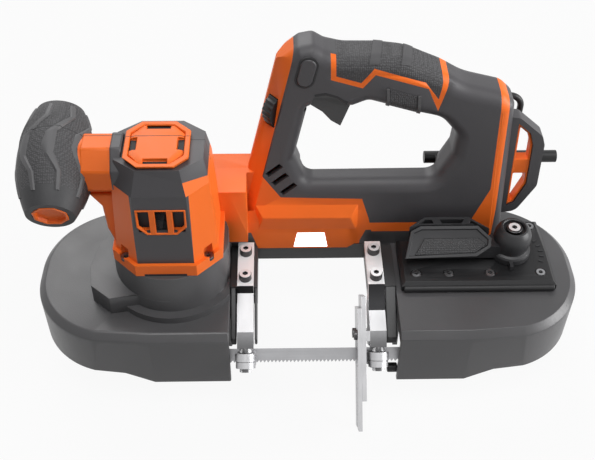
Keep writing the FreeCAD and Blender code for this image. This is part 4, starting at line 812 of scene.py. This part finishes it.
def knob_end_cap():
    """Eight-sided dished plug in the near end of the knob."""
    radius, thick = 11.4, 3.6
    cap = bmesh.new()
    bmesh.ops.create_circle(cap, cap_ends=True, segments=8, radius=radius * MM)
    thicken(cap, UP * thick * MM)
    dish(cap, UP, rim=1.5, slope=1.1, depth=2.6)
    turn = Matrix((KNOB_SIDE, KNOB_FRONT, KNOB_ALONG)).transposed().to_4x4()
    base = Matrix.Translation(knob_point(KNOB_PLUG, 0, 0))
    bmesh.ops.transform(cap, matrix=base @ turn @ Matrix.Rotation(math.pi / 8, 4, "Z"), verts=cap.verts)
    soften(on_node("knob_end_cap", cap, orange, "knob_core", 25), 0.4)


def knob_details():
    """Ribs, seam and plain end of the knob's grip, and the seam of its core."""
    ribs = [knob_rib(RIB_FIRST + 360.0 * i / KNOB_RIBS) for i in range(KNOB_RIBS)]
    seamed_piece("knob_ribs", joined_shapes(ribs), soft_plain, "knob_grip", 40)
    grip = seamed(node_shape("knob_grip"))
    smooth_from = knob_point(KNOB_SMOOTH, 0, 0)
    slice_plane(grip, smooth_from, KNOB_ALONG)
    for face in grip.faces:
        if (face.calc_center_median() - smooth_from).dot(KNOB_ALONG) > 0:
            face.material_index = 2
    dressed("knob_grip", soft_grip, grip, (seam_and_gap_shade, soft_end), 3)
    dressed("knob_core", orange, seamed(node_shape("knob_core")), (seam_and_gap_shade,))
    knob_end_cap()


def neck_sleeve():
    """Eight-sided outside of the neck, its grey cuff, and the web that braces it against the tower."""
    neck_y, neck_z = KNOB_MIDDLE[1:]
    left, right, radius = -140.0, -117.0, 19.1
    sleeve = rod(((left + right) / 2, neck_y, neck_z), radius, right - left, 8, math.pi / 8)
    soften(seamed_piece("neck_sleeve", sleeve, orange, "knob_core"), 1.2)
    width, radius, low = 7.0, 19.8, 149.0
    cuff = rod((NECK_CUFF + width / 2, neck_y, neck_z), radius, width, 8, math.pi / 8)
    slice_plane(cuff, at(0, 0, low), UP, clear_inner=True)
    close_holes(cuff)
    soften(seamed_piece("neck_cuff", cuff, grey, "motor_collar"), 1.0)
    side = [(-139.0, 142.0), (-131.5, 131.0), (-130.5, 112.0), (-127.0, 99.5), (-119.0, 99.5),
            (-119.0, 142.0)]
    front, thick = -58.0, 24.0
    web = outline_plate([at(x, front, z) for x, z in side], Vector((0, thick * MM, 0)))
    soften(on_node("neck_web", web, orange, "knob_core", 25), 2.0, 3)


# Handle
FRONT, RISING = Vector((0, -1, 0)), Vector((0, -0.6, 0.8))
HANDLE_FACE = -17.0
TRIGGER_RECESS = [(3.0, 186.0), (9.4, 187.0), (16.8, 184.5), (23.6, 179.4), (26.6, 175.4), (20.0, 163.0),
                  (-1.0, 170.0)]
TRIGGER_GAP_SHADOW = [(2.6, 186.2), (9.4, 187.6), (16.9, 185.2), (23.6, 180.2), (22.8, 178.9), (16.4, 183.8),
               (9.4, 186.0), (3.0, 184.8)]
FOOT_STRIP = [(41.0, 62.0), (78.0, 62.0), (78.0, 75.5), (43.0, 75.5)]
LEFT_SHOULDER = [(-80.0, 45.0), (-34.0, 45.0), (-36.3, 58.3), (-40.0, 70.6), (-80.0, 70.6)]
RIGHT_SHOULDER = [(36.0, 45.0), (37.3, 58.3), (41.0, 68.5), (90.0, 68.5), (90.0, 45.0)]
FINGER_PAD = [(49.6, 190.0), (66.4, 184.8), (68.0, 168.0), (50.4, 174.0)]
BUTTON_MIDDLE = (-2.6, 202.6)
BUTTON_WIDTH, BUTTON_HEIGHT, BUTTON_LEAN = 10.0, 20.0, math.radians(12.0)


def stadium_loop(shape, radius, half, y):
    """Edge loop of an upright slot, leaning with the post."""
    made = bmesh.ops.create_circle(shape, segments=32, radius=radius * MM)
    place = at(BUTTON_MIDDLE[0], y, BUTTON_MIDDLE[1])
    lean = Matrix.Rotation(BUTTON_LEAN, 4, "Y")
    for vert in made["verts"]:
        shift = half * MM if vert.co.y > 0 else -half * MM
        vert.co = place + lean @ Vector((vert.co.x, 0, vert.co.y + shift))
    return list({e for v in made["verts"] for e in v.link_edges})


def button_ring():
    """Dark ring round the lock button: painted shade in the gap."""
    shape = bmesh.new()
    half = (BUTTON_HEIGHT - BUTTON_WIDTH) / 2
    inner, outer = BUTTON_WIDTH / 2 + 0.25, BUTTON_WIDTH / 2 + 1.4
    loops = [stadium_loop(shape, radius, half, HANDLE_FACE + depth)
             for radius, depth in ((inner, 1.0), (inner, -0.35), (outer, -0.25), (outer, 1.0))]
    for first, second in zip(loops, loops[1:] + loops[:1]):
        bmesh.ops.bridge_loops(shape, edges=first + second)
    face_out(shape)
    # Painted shade in the gap round the button
    on_node("button_ring", shape, seam_and_gap_shade, "handle_front")


def on_face(outline):
    """Corners on the handle's front face."""
    return [at(x, HANDLE_FACE, z) for x, z in outline]


def grip_pads():
    """Smooth bands over the upper grip and the stippled finger pad with its two end ribs."""
    high, low, lean = 235, 200, 4
    for name, left, right in (("grip_band_a", 39.5, 45.5), ("grip_band_b", 59.0, 65.0)):
        band = [(left, high), (right, high), (right - lean, low), (left - lean, low)]
        patch = raised_patch("handle_grip", [at(x, -10, z) for x, z in band], 0.45, RISING)
        on_node(name, patch, soft_band, "handle_grip", 50)
    on_node("finger_pad", raised_patch("handle_front", on_face(FINGER_PAD), 0.6, FRONT), soft_grip,
            "handle_front", 50)
    for name, x, high in (("finger_rib_a", 47.2, 191.0), ("finger_rib_b", 67.2, 185.2)):
        rib = [(x, high), (x + 2.0, high - 0.4), (x + 3.2, high - 17.0), (x + 1.2, high - 17.0)]
        on_node(name, raised_patch("handle_front", on_face(rib), 1.2, FRONT), soft_plain, "handle_front", 50)


def body_ledge():
    """Sloping step over the work light, given by the place and ends of its four long edges."""
    sections = {(1, 1): (-16.5, 93.6, -37.0, 35.0), (-1, 1): (-22.4, 85.4, -31.5, 29.5),
                (-1, -1): (-21.0, 73.6, -35.0, 33.6), (1, -1): (-16.5, 73.6, -37.0, 35.0)}
    shape = bmesh.new()
    bmesh.ops.create_cube(shape, size=2.0)
    for vert in shape.verts:
        y, z, left, right = sections[(round(vert.co.y), round(vert.co.z))]
        vert.co = at(left if vert.co.x < 0 else right, y, z)
    soften(on_node("body_ledge", shape, orange, "body_front", 25), 0.5)


def dress_handle():
    """Grey handle side with the dark trigger recess and the orange strip along its foot.

    The zigzag inlay's upright end stops short of the top of the grip."""
    shape = node_shape("handle_front")
    for index, outline in ((1, TRIGGER_RECESS), (2, FOOT_STRIP)):
        paint_zone(shape, [at(x, 0, z) for x, z in outline], FRONT, index)
    dressed("handle_front", grey, shape, (trigger_black, orange))
    # Dark plate over the gap above the trigger: painted shadow line
    proud, thick = 0.25, 0.9
    gap = outline_plate([at(x, HANDLE_FACE - proud, z) for x, z in TRIGGER_GAP_SHADOW], Vector((0, thick * MM, 0)))
    on_node("trigger_gap_shadow", gap, seam_and_gap_shade, "handle_front")
    inlay = node_shape("grip_inlay")
    bmesh.ops.triangulate(inlay, faces=inlay.faces)
    over_top = [at(x, y, 0) for x, y in rectangle(4.0, 36.0, -11.0, 11.0)]
    paint_zone(inlay, over_top, UP, 1)
    dressed("grip_inlay", orange, inlay, (soft_band,))


def dress_body():
    """Orange body whose two lower corners are covered by the grey shoulders of the guards."""
    shape = node_shape("body_front")
    for outline in (LEFT_SHOULDER, RIGHT_SHOULDER):
        paint_zone(shape, [at(x, 0, z) for x, z in outline], FRONT, 1)
    dressed("body_front", orange, shape, (grey_guard,))


# Blade tension
LEVER_HUB = (141.0, -34.0)
LEVER_SLOPE = Vector((0, -0.664, 0.747))
LEVER_LOW = 62.6
PADDLE = [(66.0, -48.0, 70.9), (70.3, -34.0, 83.4), (77.0, -31.4, 85.6), (116.5, -31.4, 85.6),
          (125.6, -38.0, 79.8), (124.9, -42.5, 75.7), (115.1, -47.1, 71.7)]
THUMB_PAD = [(72.6, -46.4, 72.3), (79.6, -37.6, 80.1), (117.0, -37.6, 80.1), (122.4, -40.6, 77.5),
             (114.8, -45.4, 73.2)]
LEVER_RIM = [(69.0, -33.0), (80.5, -23.2), (110.7, -23.2), (123.6, -35.0), (116.5, -30.6), (77.0, -30.6)]
LEVER_WINDOWS = [[(74.2, -30.9), (80.2, -25.6), (85.0, -25.6), (86.0, -29.6), (77.4, -29.6)],
                 [(90.3, -25.6), (107.4, -25.6), (105.2, -29.6), (91.8, -29.6)],
                 [(110.6, -29.6), (112.0, -26.6), (120.0, -33.4), (117.4, -31.6)]]
LEVER_ARM = [(76.0, -42.0), (80.0, -25.0), (112.0, -25.0), (133.0, -27.0), (133.0, -42.0)]
LEVER_THROAT = [(121.0, -41.5), (121.0, -33.0), (133.0, -27.0), (133.0, -42.5)]
HUB_PROFILE = [(3.4, 83.0), (7.4, 83.0), (7.4, 86.0), (8.2, 86.6), (9.4, 86.2), (11.4, 84.0), (12.6, 80.5),
               (12.8, 76.0), (12.2, 71.0), (11.6, 69.0), (13.4, 68.2), (14.0, 66.6), (14.0, LEVER_LOW),
               (3.4, LEVER_LOW)]


def flat_plate(outline, low, high):
    """Upright plate with an outline in plan."""
    return outline_plate([at(x, y, low) for x, y in outline], UP * (high - low) * MM)


def lever_paddle():
    """Sloped thumb paddle with a dished face."""
    thick = 5
    paddle = outline_plate([at(*corner) for corner in PADDLE], LEVER_SLOPE * -thick * MM)
    dish(paddle, LEVER_SLOPE, rim=2.2, slope=0.8, depth=1.2)
    return paddle


def lever_hub():
    """Round hub turned from its profile."""
    hub = bmesh.new()
    loop = edge_loop(hub, [at(LEVER_HUB[0] + radius, LEVER_HUB[1], z) for radius, z in HUB_PROFILE])
    bmesh.ops.spin(hub, geom=loop, cent=at(*LEVER_HUB, 0), axis=UP, angle=math.tau, steps=48,
                   use_merge=True)
    face_out(hub)
    return hub


def tension_lever():
    """Swinging lever: thumb paddle, pierced back rim, arm and round hub, on the cam that the node has."""
    rim = flat_plate(LEVER_RIM, 70.0, 86.4)
    windows = joined_shapes([flat_plate(outline, 77.0, 90.0) for outline in LEVER_WINDOWS])
    arm = flat_plate(LEVER_ARM, 64.5, 71.0)
    throat = flat_plate(LEVER_THROAT, 68.0, 76.0)
    pointer = flat_plate(rectangle(138.0, 140.4, -52.5, -46.0), LEVER_LOW, 66.6)
    cam = node_shape("tension_lever")
    slice_plane(cam, at(0, 0, LEVER_LOW - 0.35), UP, clear_outer=True)
    close_holes(cam)
    shape = joined_shapes([lever_paddle(), carved(rim, windows), arm, throat, pointer, lever_hub(), cam])
    dressed("tension_lever", lever_black, shape, segments=3)
    sunk, thick = 0.5, 2.0
    pad = outline_plate([at(*corner) - LEVER_SLOPE * sunk * MM for corner in THUMB_PAD],
                        LEVER_SLOPE * -thick * MM)
    soften(on_node("lever_thumb_pad", pad, thumb_grip, "tension_lever", 25), 0.5)


def plate_marks():
    """Rounded front bead of the tension plate and the index marks round the lever hub."""
    radius, length = 2.4, 103.0
    bead = rod((116.0, -63.6, 57.6), radius, length, 20)
    soften(on_node("plate_bead", bead, black, "tension_plate"), 0.6)
    reach, level, first, step = 22.5, 62.0, -24.0, 13.0
    ticks = []
    for i in range(6):
        angle = math.radians(first + step * i)
        place = at(LEVER_HUB[0] + reach * math.cos(angle), LEVER_HUB[1] + reach * math.sin(angle), level)
        tick = bmesh.new()
        add_box(tick, (-1.6 * MM, -0.5 * MM, -0.4 * MM), (1.6 * MM, 0.5 * MM, 0.5 * MM))
        turn = Matrix.Translation(place) @ Matrix.Rotation(angle, 4, "Z")
        bmesh.ops.transform(tick, matrix=turn, verts=tick.verts)
        ticks.append(tick)
    on_node("plate_index_marks", joined_shapes(ticks), lever_black, "tension_plate")


# Guides and fasteners
GUIDE_SLOPE_LOW, GUIDE_FOOT_HIGH = 49.5, 58.0
RING_THICK, RING_SINK = 0.5, 0.2
GUIDE_BOLTS = [(x, y, 68.0) for x in (-43.5, 45.5) for y in (-33.5, -57.5)]
TOWER_SCREWS = [(x, -69.0, 97.7) for x in (-119.0, -66.0)]
PLATE_SCREWS = [(x, -53.5, 62.0) for x in (73.5, 96.0, 124.5, 159.5)] + [(160.5, -8.0, 62.0)]
LEVER_BOLT = [(*LEVER_HUB, 86.4)]


def dress_guides():
    """Top faces get a bright finish as painted light; upright faces, sloped faces and the lower flat faces get
    darker copies of it as painted shade, chosen by which way each face looks and by height.
    """
    slope_low, foot_high = at(0, 0, GUIDE_SLOPE_LOW).z, at(0, 0, GUIDE_FOOT_HIGH).z
    for node in ("left_blade_guide", "right_blade_guide"):
        shape = node_shape(node)
        for face in shape.faces:
            # Painted shade on upright, sloped and low flat faces; the bright finish stands for light on the tops
            if face.normal.z < 0.8 and abs(face.normal.x) < 0.5:
                face.material_index = 2 if face.calc_center_median().z > slope_low else 1
            elif face.normal.z > 0.8 and face.calc_center_median().z < foot_high:
                face.material_index = 3
        dressed(node, guide_top_painted_lit, shape, (guide_side_painted_shade, guide_slope_painted_shade, guide_foot_painted_shade))


def arm_rails():
    """Ribs of the cast frame that run down beside the guides towards the blade."""
    side = [(-60.5, 57.4), (-90.0, 37.0), (-90.0, 31.5), (-78.0, 34.0), (-60.5, 42.0)]
    for name, low, high in (("arm_rail_left_outer", -53.8, -49.8), ("arm_rail_left_inner", -37.4, -35.6),
                            ("arm_rail_right_outer", 51.8, 59.3)):
        rail = outline_plate([at(low, y, z) for y, z in side], Vector(((high - low) * MM, 0, 0)))
        soften(on_node(name, rail, painted_iron, "main_frame", 25), 0.8)


def socket_ring(place, radius, key):
    """Bright face of an upright bolt's head, with a six-sided key hole."""
    shape = bmesh.new()
    edges = []
    for segments, size in ((24, radius), (6, key)):
        made = bmesh.ops.create_circle(shape, segments=segments, radius=size * MM)
        edges += list({e for v in made["verts"] for e in v.link_edges})
    bmesh.ops.bridge_loops(shape, edges=edges)
    thicken(shape, UP * RING_THICK * MM)
    turn = UP.to_track_quat("Z", "Y").to_matrix().to_4x4()
    bmesh.ops.transform(shape, matrix=Matrix.Translation(place - UP * RING_SINK * MM) @ turn, verts=shape.verts)
    return shape


def bolt_faces():
    for name, places, radius, key, steel, node in (
            ("guide_bolt_faces", GUIDE_BOLTS, 3.9, 2.0, bright_steel, "guide_bolts"),
            ("tower_screw_faces", TOWER_SCREWS, 3.3, 1.5, screw_steel, "case_screws"),
            ("case_screw_faces", PLATE_SCREWS, 3.0, 1.6, screw_steel, "case_screws"),
            ("lever_bolt_face", LEVER_BOLT, 4.0, 2.0, bright_steel, "lever_bolt")):
        on_node(name, joined_shapes([socket_ring(at(*place), radius, key) for place in places]), steel, node)


def guard_stud():
    """Rounded stud on the right guard, beside the throat."""
    radius, length = 3.4, 7.0
    stud = rod((57.0, -94.5, 11.0), radius, length, 24)
    soften(on_node("guard_stud", stud, black, "right_wheel_guard"), 1.0, 3)


OWN_DRESS = {"gearbox_housing", "motor_collar", "motor_end_cap", "knob_grip", "knob_core", "left_blade_guide",
             "right_blade_guide", "body_front", "handle_front", "grip_inlay", "tension_lever"}


def dress_all():
    for node in nodes:
        if node not in OWN_DRESS:
            dressed(node, SPECIAL.get(node))
    dress_gearbox()
    dress_collar()
    dress_cap()
    dress_body()
    body_ledge()
    dress_handle()
    neck_sleeve()
    cap_centre()
    vent_frame()
    flange_slot_shade()
    knob_details()
    button_ring()
    grip_pads()
    tension_lever()
    plate_marks()
    dress_guides()
    arm_rails()
    bolt_faces()
    guard_stud()


# Stage, light and camera
FLOOR_TONE, FLOOR_WHITE, FLOOR_HALF, FLOOR_DROP = 0.50, 0.93, 6.0, 0.0005
WORLD_DIM, WORLD_BRIGHT = 0.06, 1.0
LAMPS = [("back_panel", (-0.6, 1.45, 1.45), (-0.15, 0.0, 0.05), (1.5, 1.1), 24.0),
         ("top_panel", (0.0, -0.4, 1.4), (0.0, 0.0, 0.1), (1.0, 0.7), 11.0),
         ("right_panel", (1.4, -0.2, 0.5), (0.05, 0.0, 0.08), (0.8, 0.9), 22.0)]
CAMERA_PLACE = (-0.01984, -0.44358, 0.55605)
CAMERA_TURN, CAMERA_RISE, CAMERA_ROLL = math.radians(-1.501), math.radians(44.401), math.radians(0.523)
PICTURE_WIDTH, FOCAL_PIXELS, SENSOR = 595.0, 950.0, 36.0


def seen_directly(tree):
    """1 for camera rays, mirrored rays and rays through glass, 0 for the light that falls on things."""
    rays = tree.nodes.new("ShaderNodeLightPath")
    seen = math_node(tree, "MAXIMUM", rays.outputs["Is Camera Ray"], rays.outputs["Is Glossy Ray"])
    return math_node(tree, "MAXIMUM", seen, rays.outputs["Is Transmission Ray"])


def make_floor():
    shape = bmesh.new()
    bmesh.ops.create_grid(shape, x_segments=1, y_segments=1, size=FLOOR_HALF)
    mesh = bpy.data.meshes.new("floor")
    shape.to_mesh(mesh)
    shape.free()
    material, tree, shader = start_material("pale_floor", 0.9, 0.0, 0.0)
    shader.inputs["Base Color"].default_value = (FLOOR_TONE, FLOOR_TONE, FLOOR_TONE, 1.0)
    white = tree.nodes.new("ShaderNodeEmission")
    white.inputs["Color"].default_value = (1, 1, 1, 1)
    white.inputs["Strength"].default_value = 1.0
    blend = tree.nodes.new("ShaderNodeMixShader")
    tree.links.new(math_node(tree, "MULTIPLY", seen_directly(tree), FLOOR_WHITE), blend.inputs["Fac"])
    tree.links.new(shader.outputs["BSDF"], blend.inputs[1])
    tree.links.new(white.outputs["Emission"], blend.inputs[2])
    tree.links.new(blend.outputs["Shader"], tree.nodes["Material Output"].inputs["Surface"])
    floor = bpy.data.objects.new("floor", mesh)
    mesh.materials.append(material)
    bpy.context.scene.collection.objects.link(floor)
    floor.location.z = cad_box[0][2] - FLOOR_DROP


def area_lamp(name, place, aim, size, power):
    lamp = bpy.data.lights.new(name, "AREA")
    lamp.shape = "RECTANGLE"
    lamp.size, lamp.size_y = size
    lamp.energy = power
    holder = bpy.data.objects.new(name, lamp)
    bpy.context.scene.collection.objects.link(holder)
    holder.location = place
    holder.rotation_euler = (Vector(aim) - Vector(place)).to_track_quat("-Z", "Y").to_euler()


def make_light():
    world = bpy.data.worlds.new("studio")
    bpy.context.scene.world = world
    world.use_nodes = True
    tree = world.node_tree
    background = tree.nodes["Background"]
    background.inputs["Color"].default_value = (1, 1, 1, 1)
    strength = map_range(tree, seen_directly(tree), 0.0, 1.0, WORLD_DIM, WORLD_BRIGHT)
    tree.links.new(strength, background.inputs["Strength"])
    for lamp in LAMPS:
        area_lamp(*lamp)


def make_camera():
    lens_data = bpy.data.cameras.new("camera")
    lens_data.sensor_fit = "HORIZONTAL"
    lens_data.sensor_width = SENSOR
    lens_data.lens = FOCAL_PIXELS / PICTURE_WIDTH * SENSOR
    lens_data.clip_start = 0.01
    camera = bpy.data.objects.new("camera", lens_data)
    bpy.context.scene.collection.objects.link(camera)
    level = math.cos(CAMERA_RISE)
    back = Vector((math.sin(CAMERA_TURN) * level, -math.cos(CAMERA_TURN) * level, math.sin(CAMERA_RISE)))
    side = (-back).cross(UP).normalized()
    up = side.cross(-back)
    right = side * math.cos(CAMERA_ROLL) + up * math.sin(CAMERA_ROLL)
    top = up * math.cos(CAMERA_ROLL) - side * math.sin(CAMERA_ROLL)
    matrix = Matrix((right, top, back)).transposed().to_4x4()
    matrix.translation = Vector(CAMERA_PLACE)
    camera.matrix_world = matrix
    bpy.context.scene.camera = camera


bpy.context.scene.view_settings.view_transform = "Standard"
dress_all()
make_floor()
make_light()
make_camera()
bpy.context.view_layer.update()
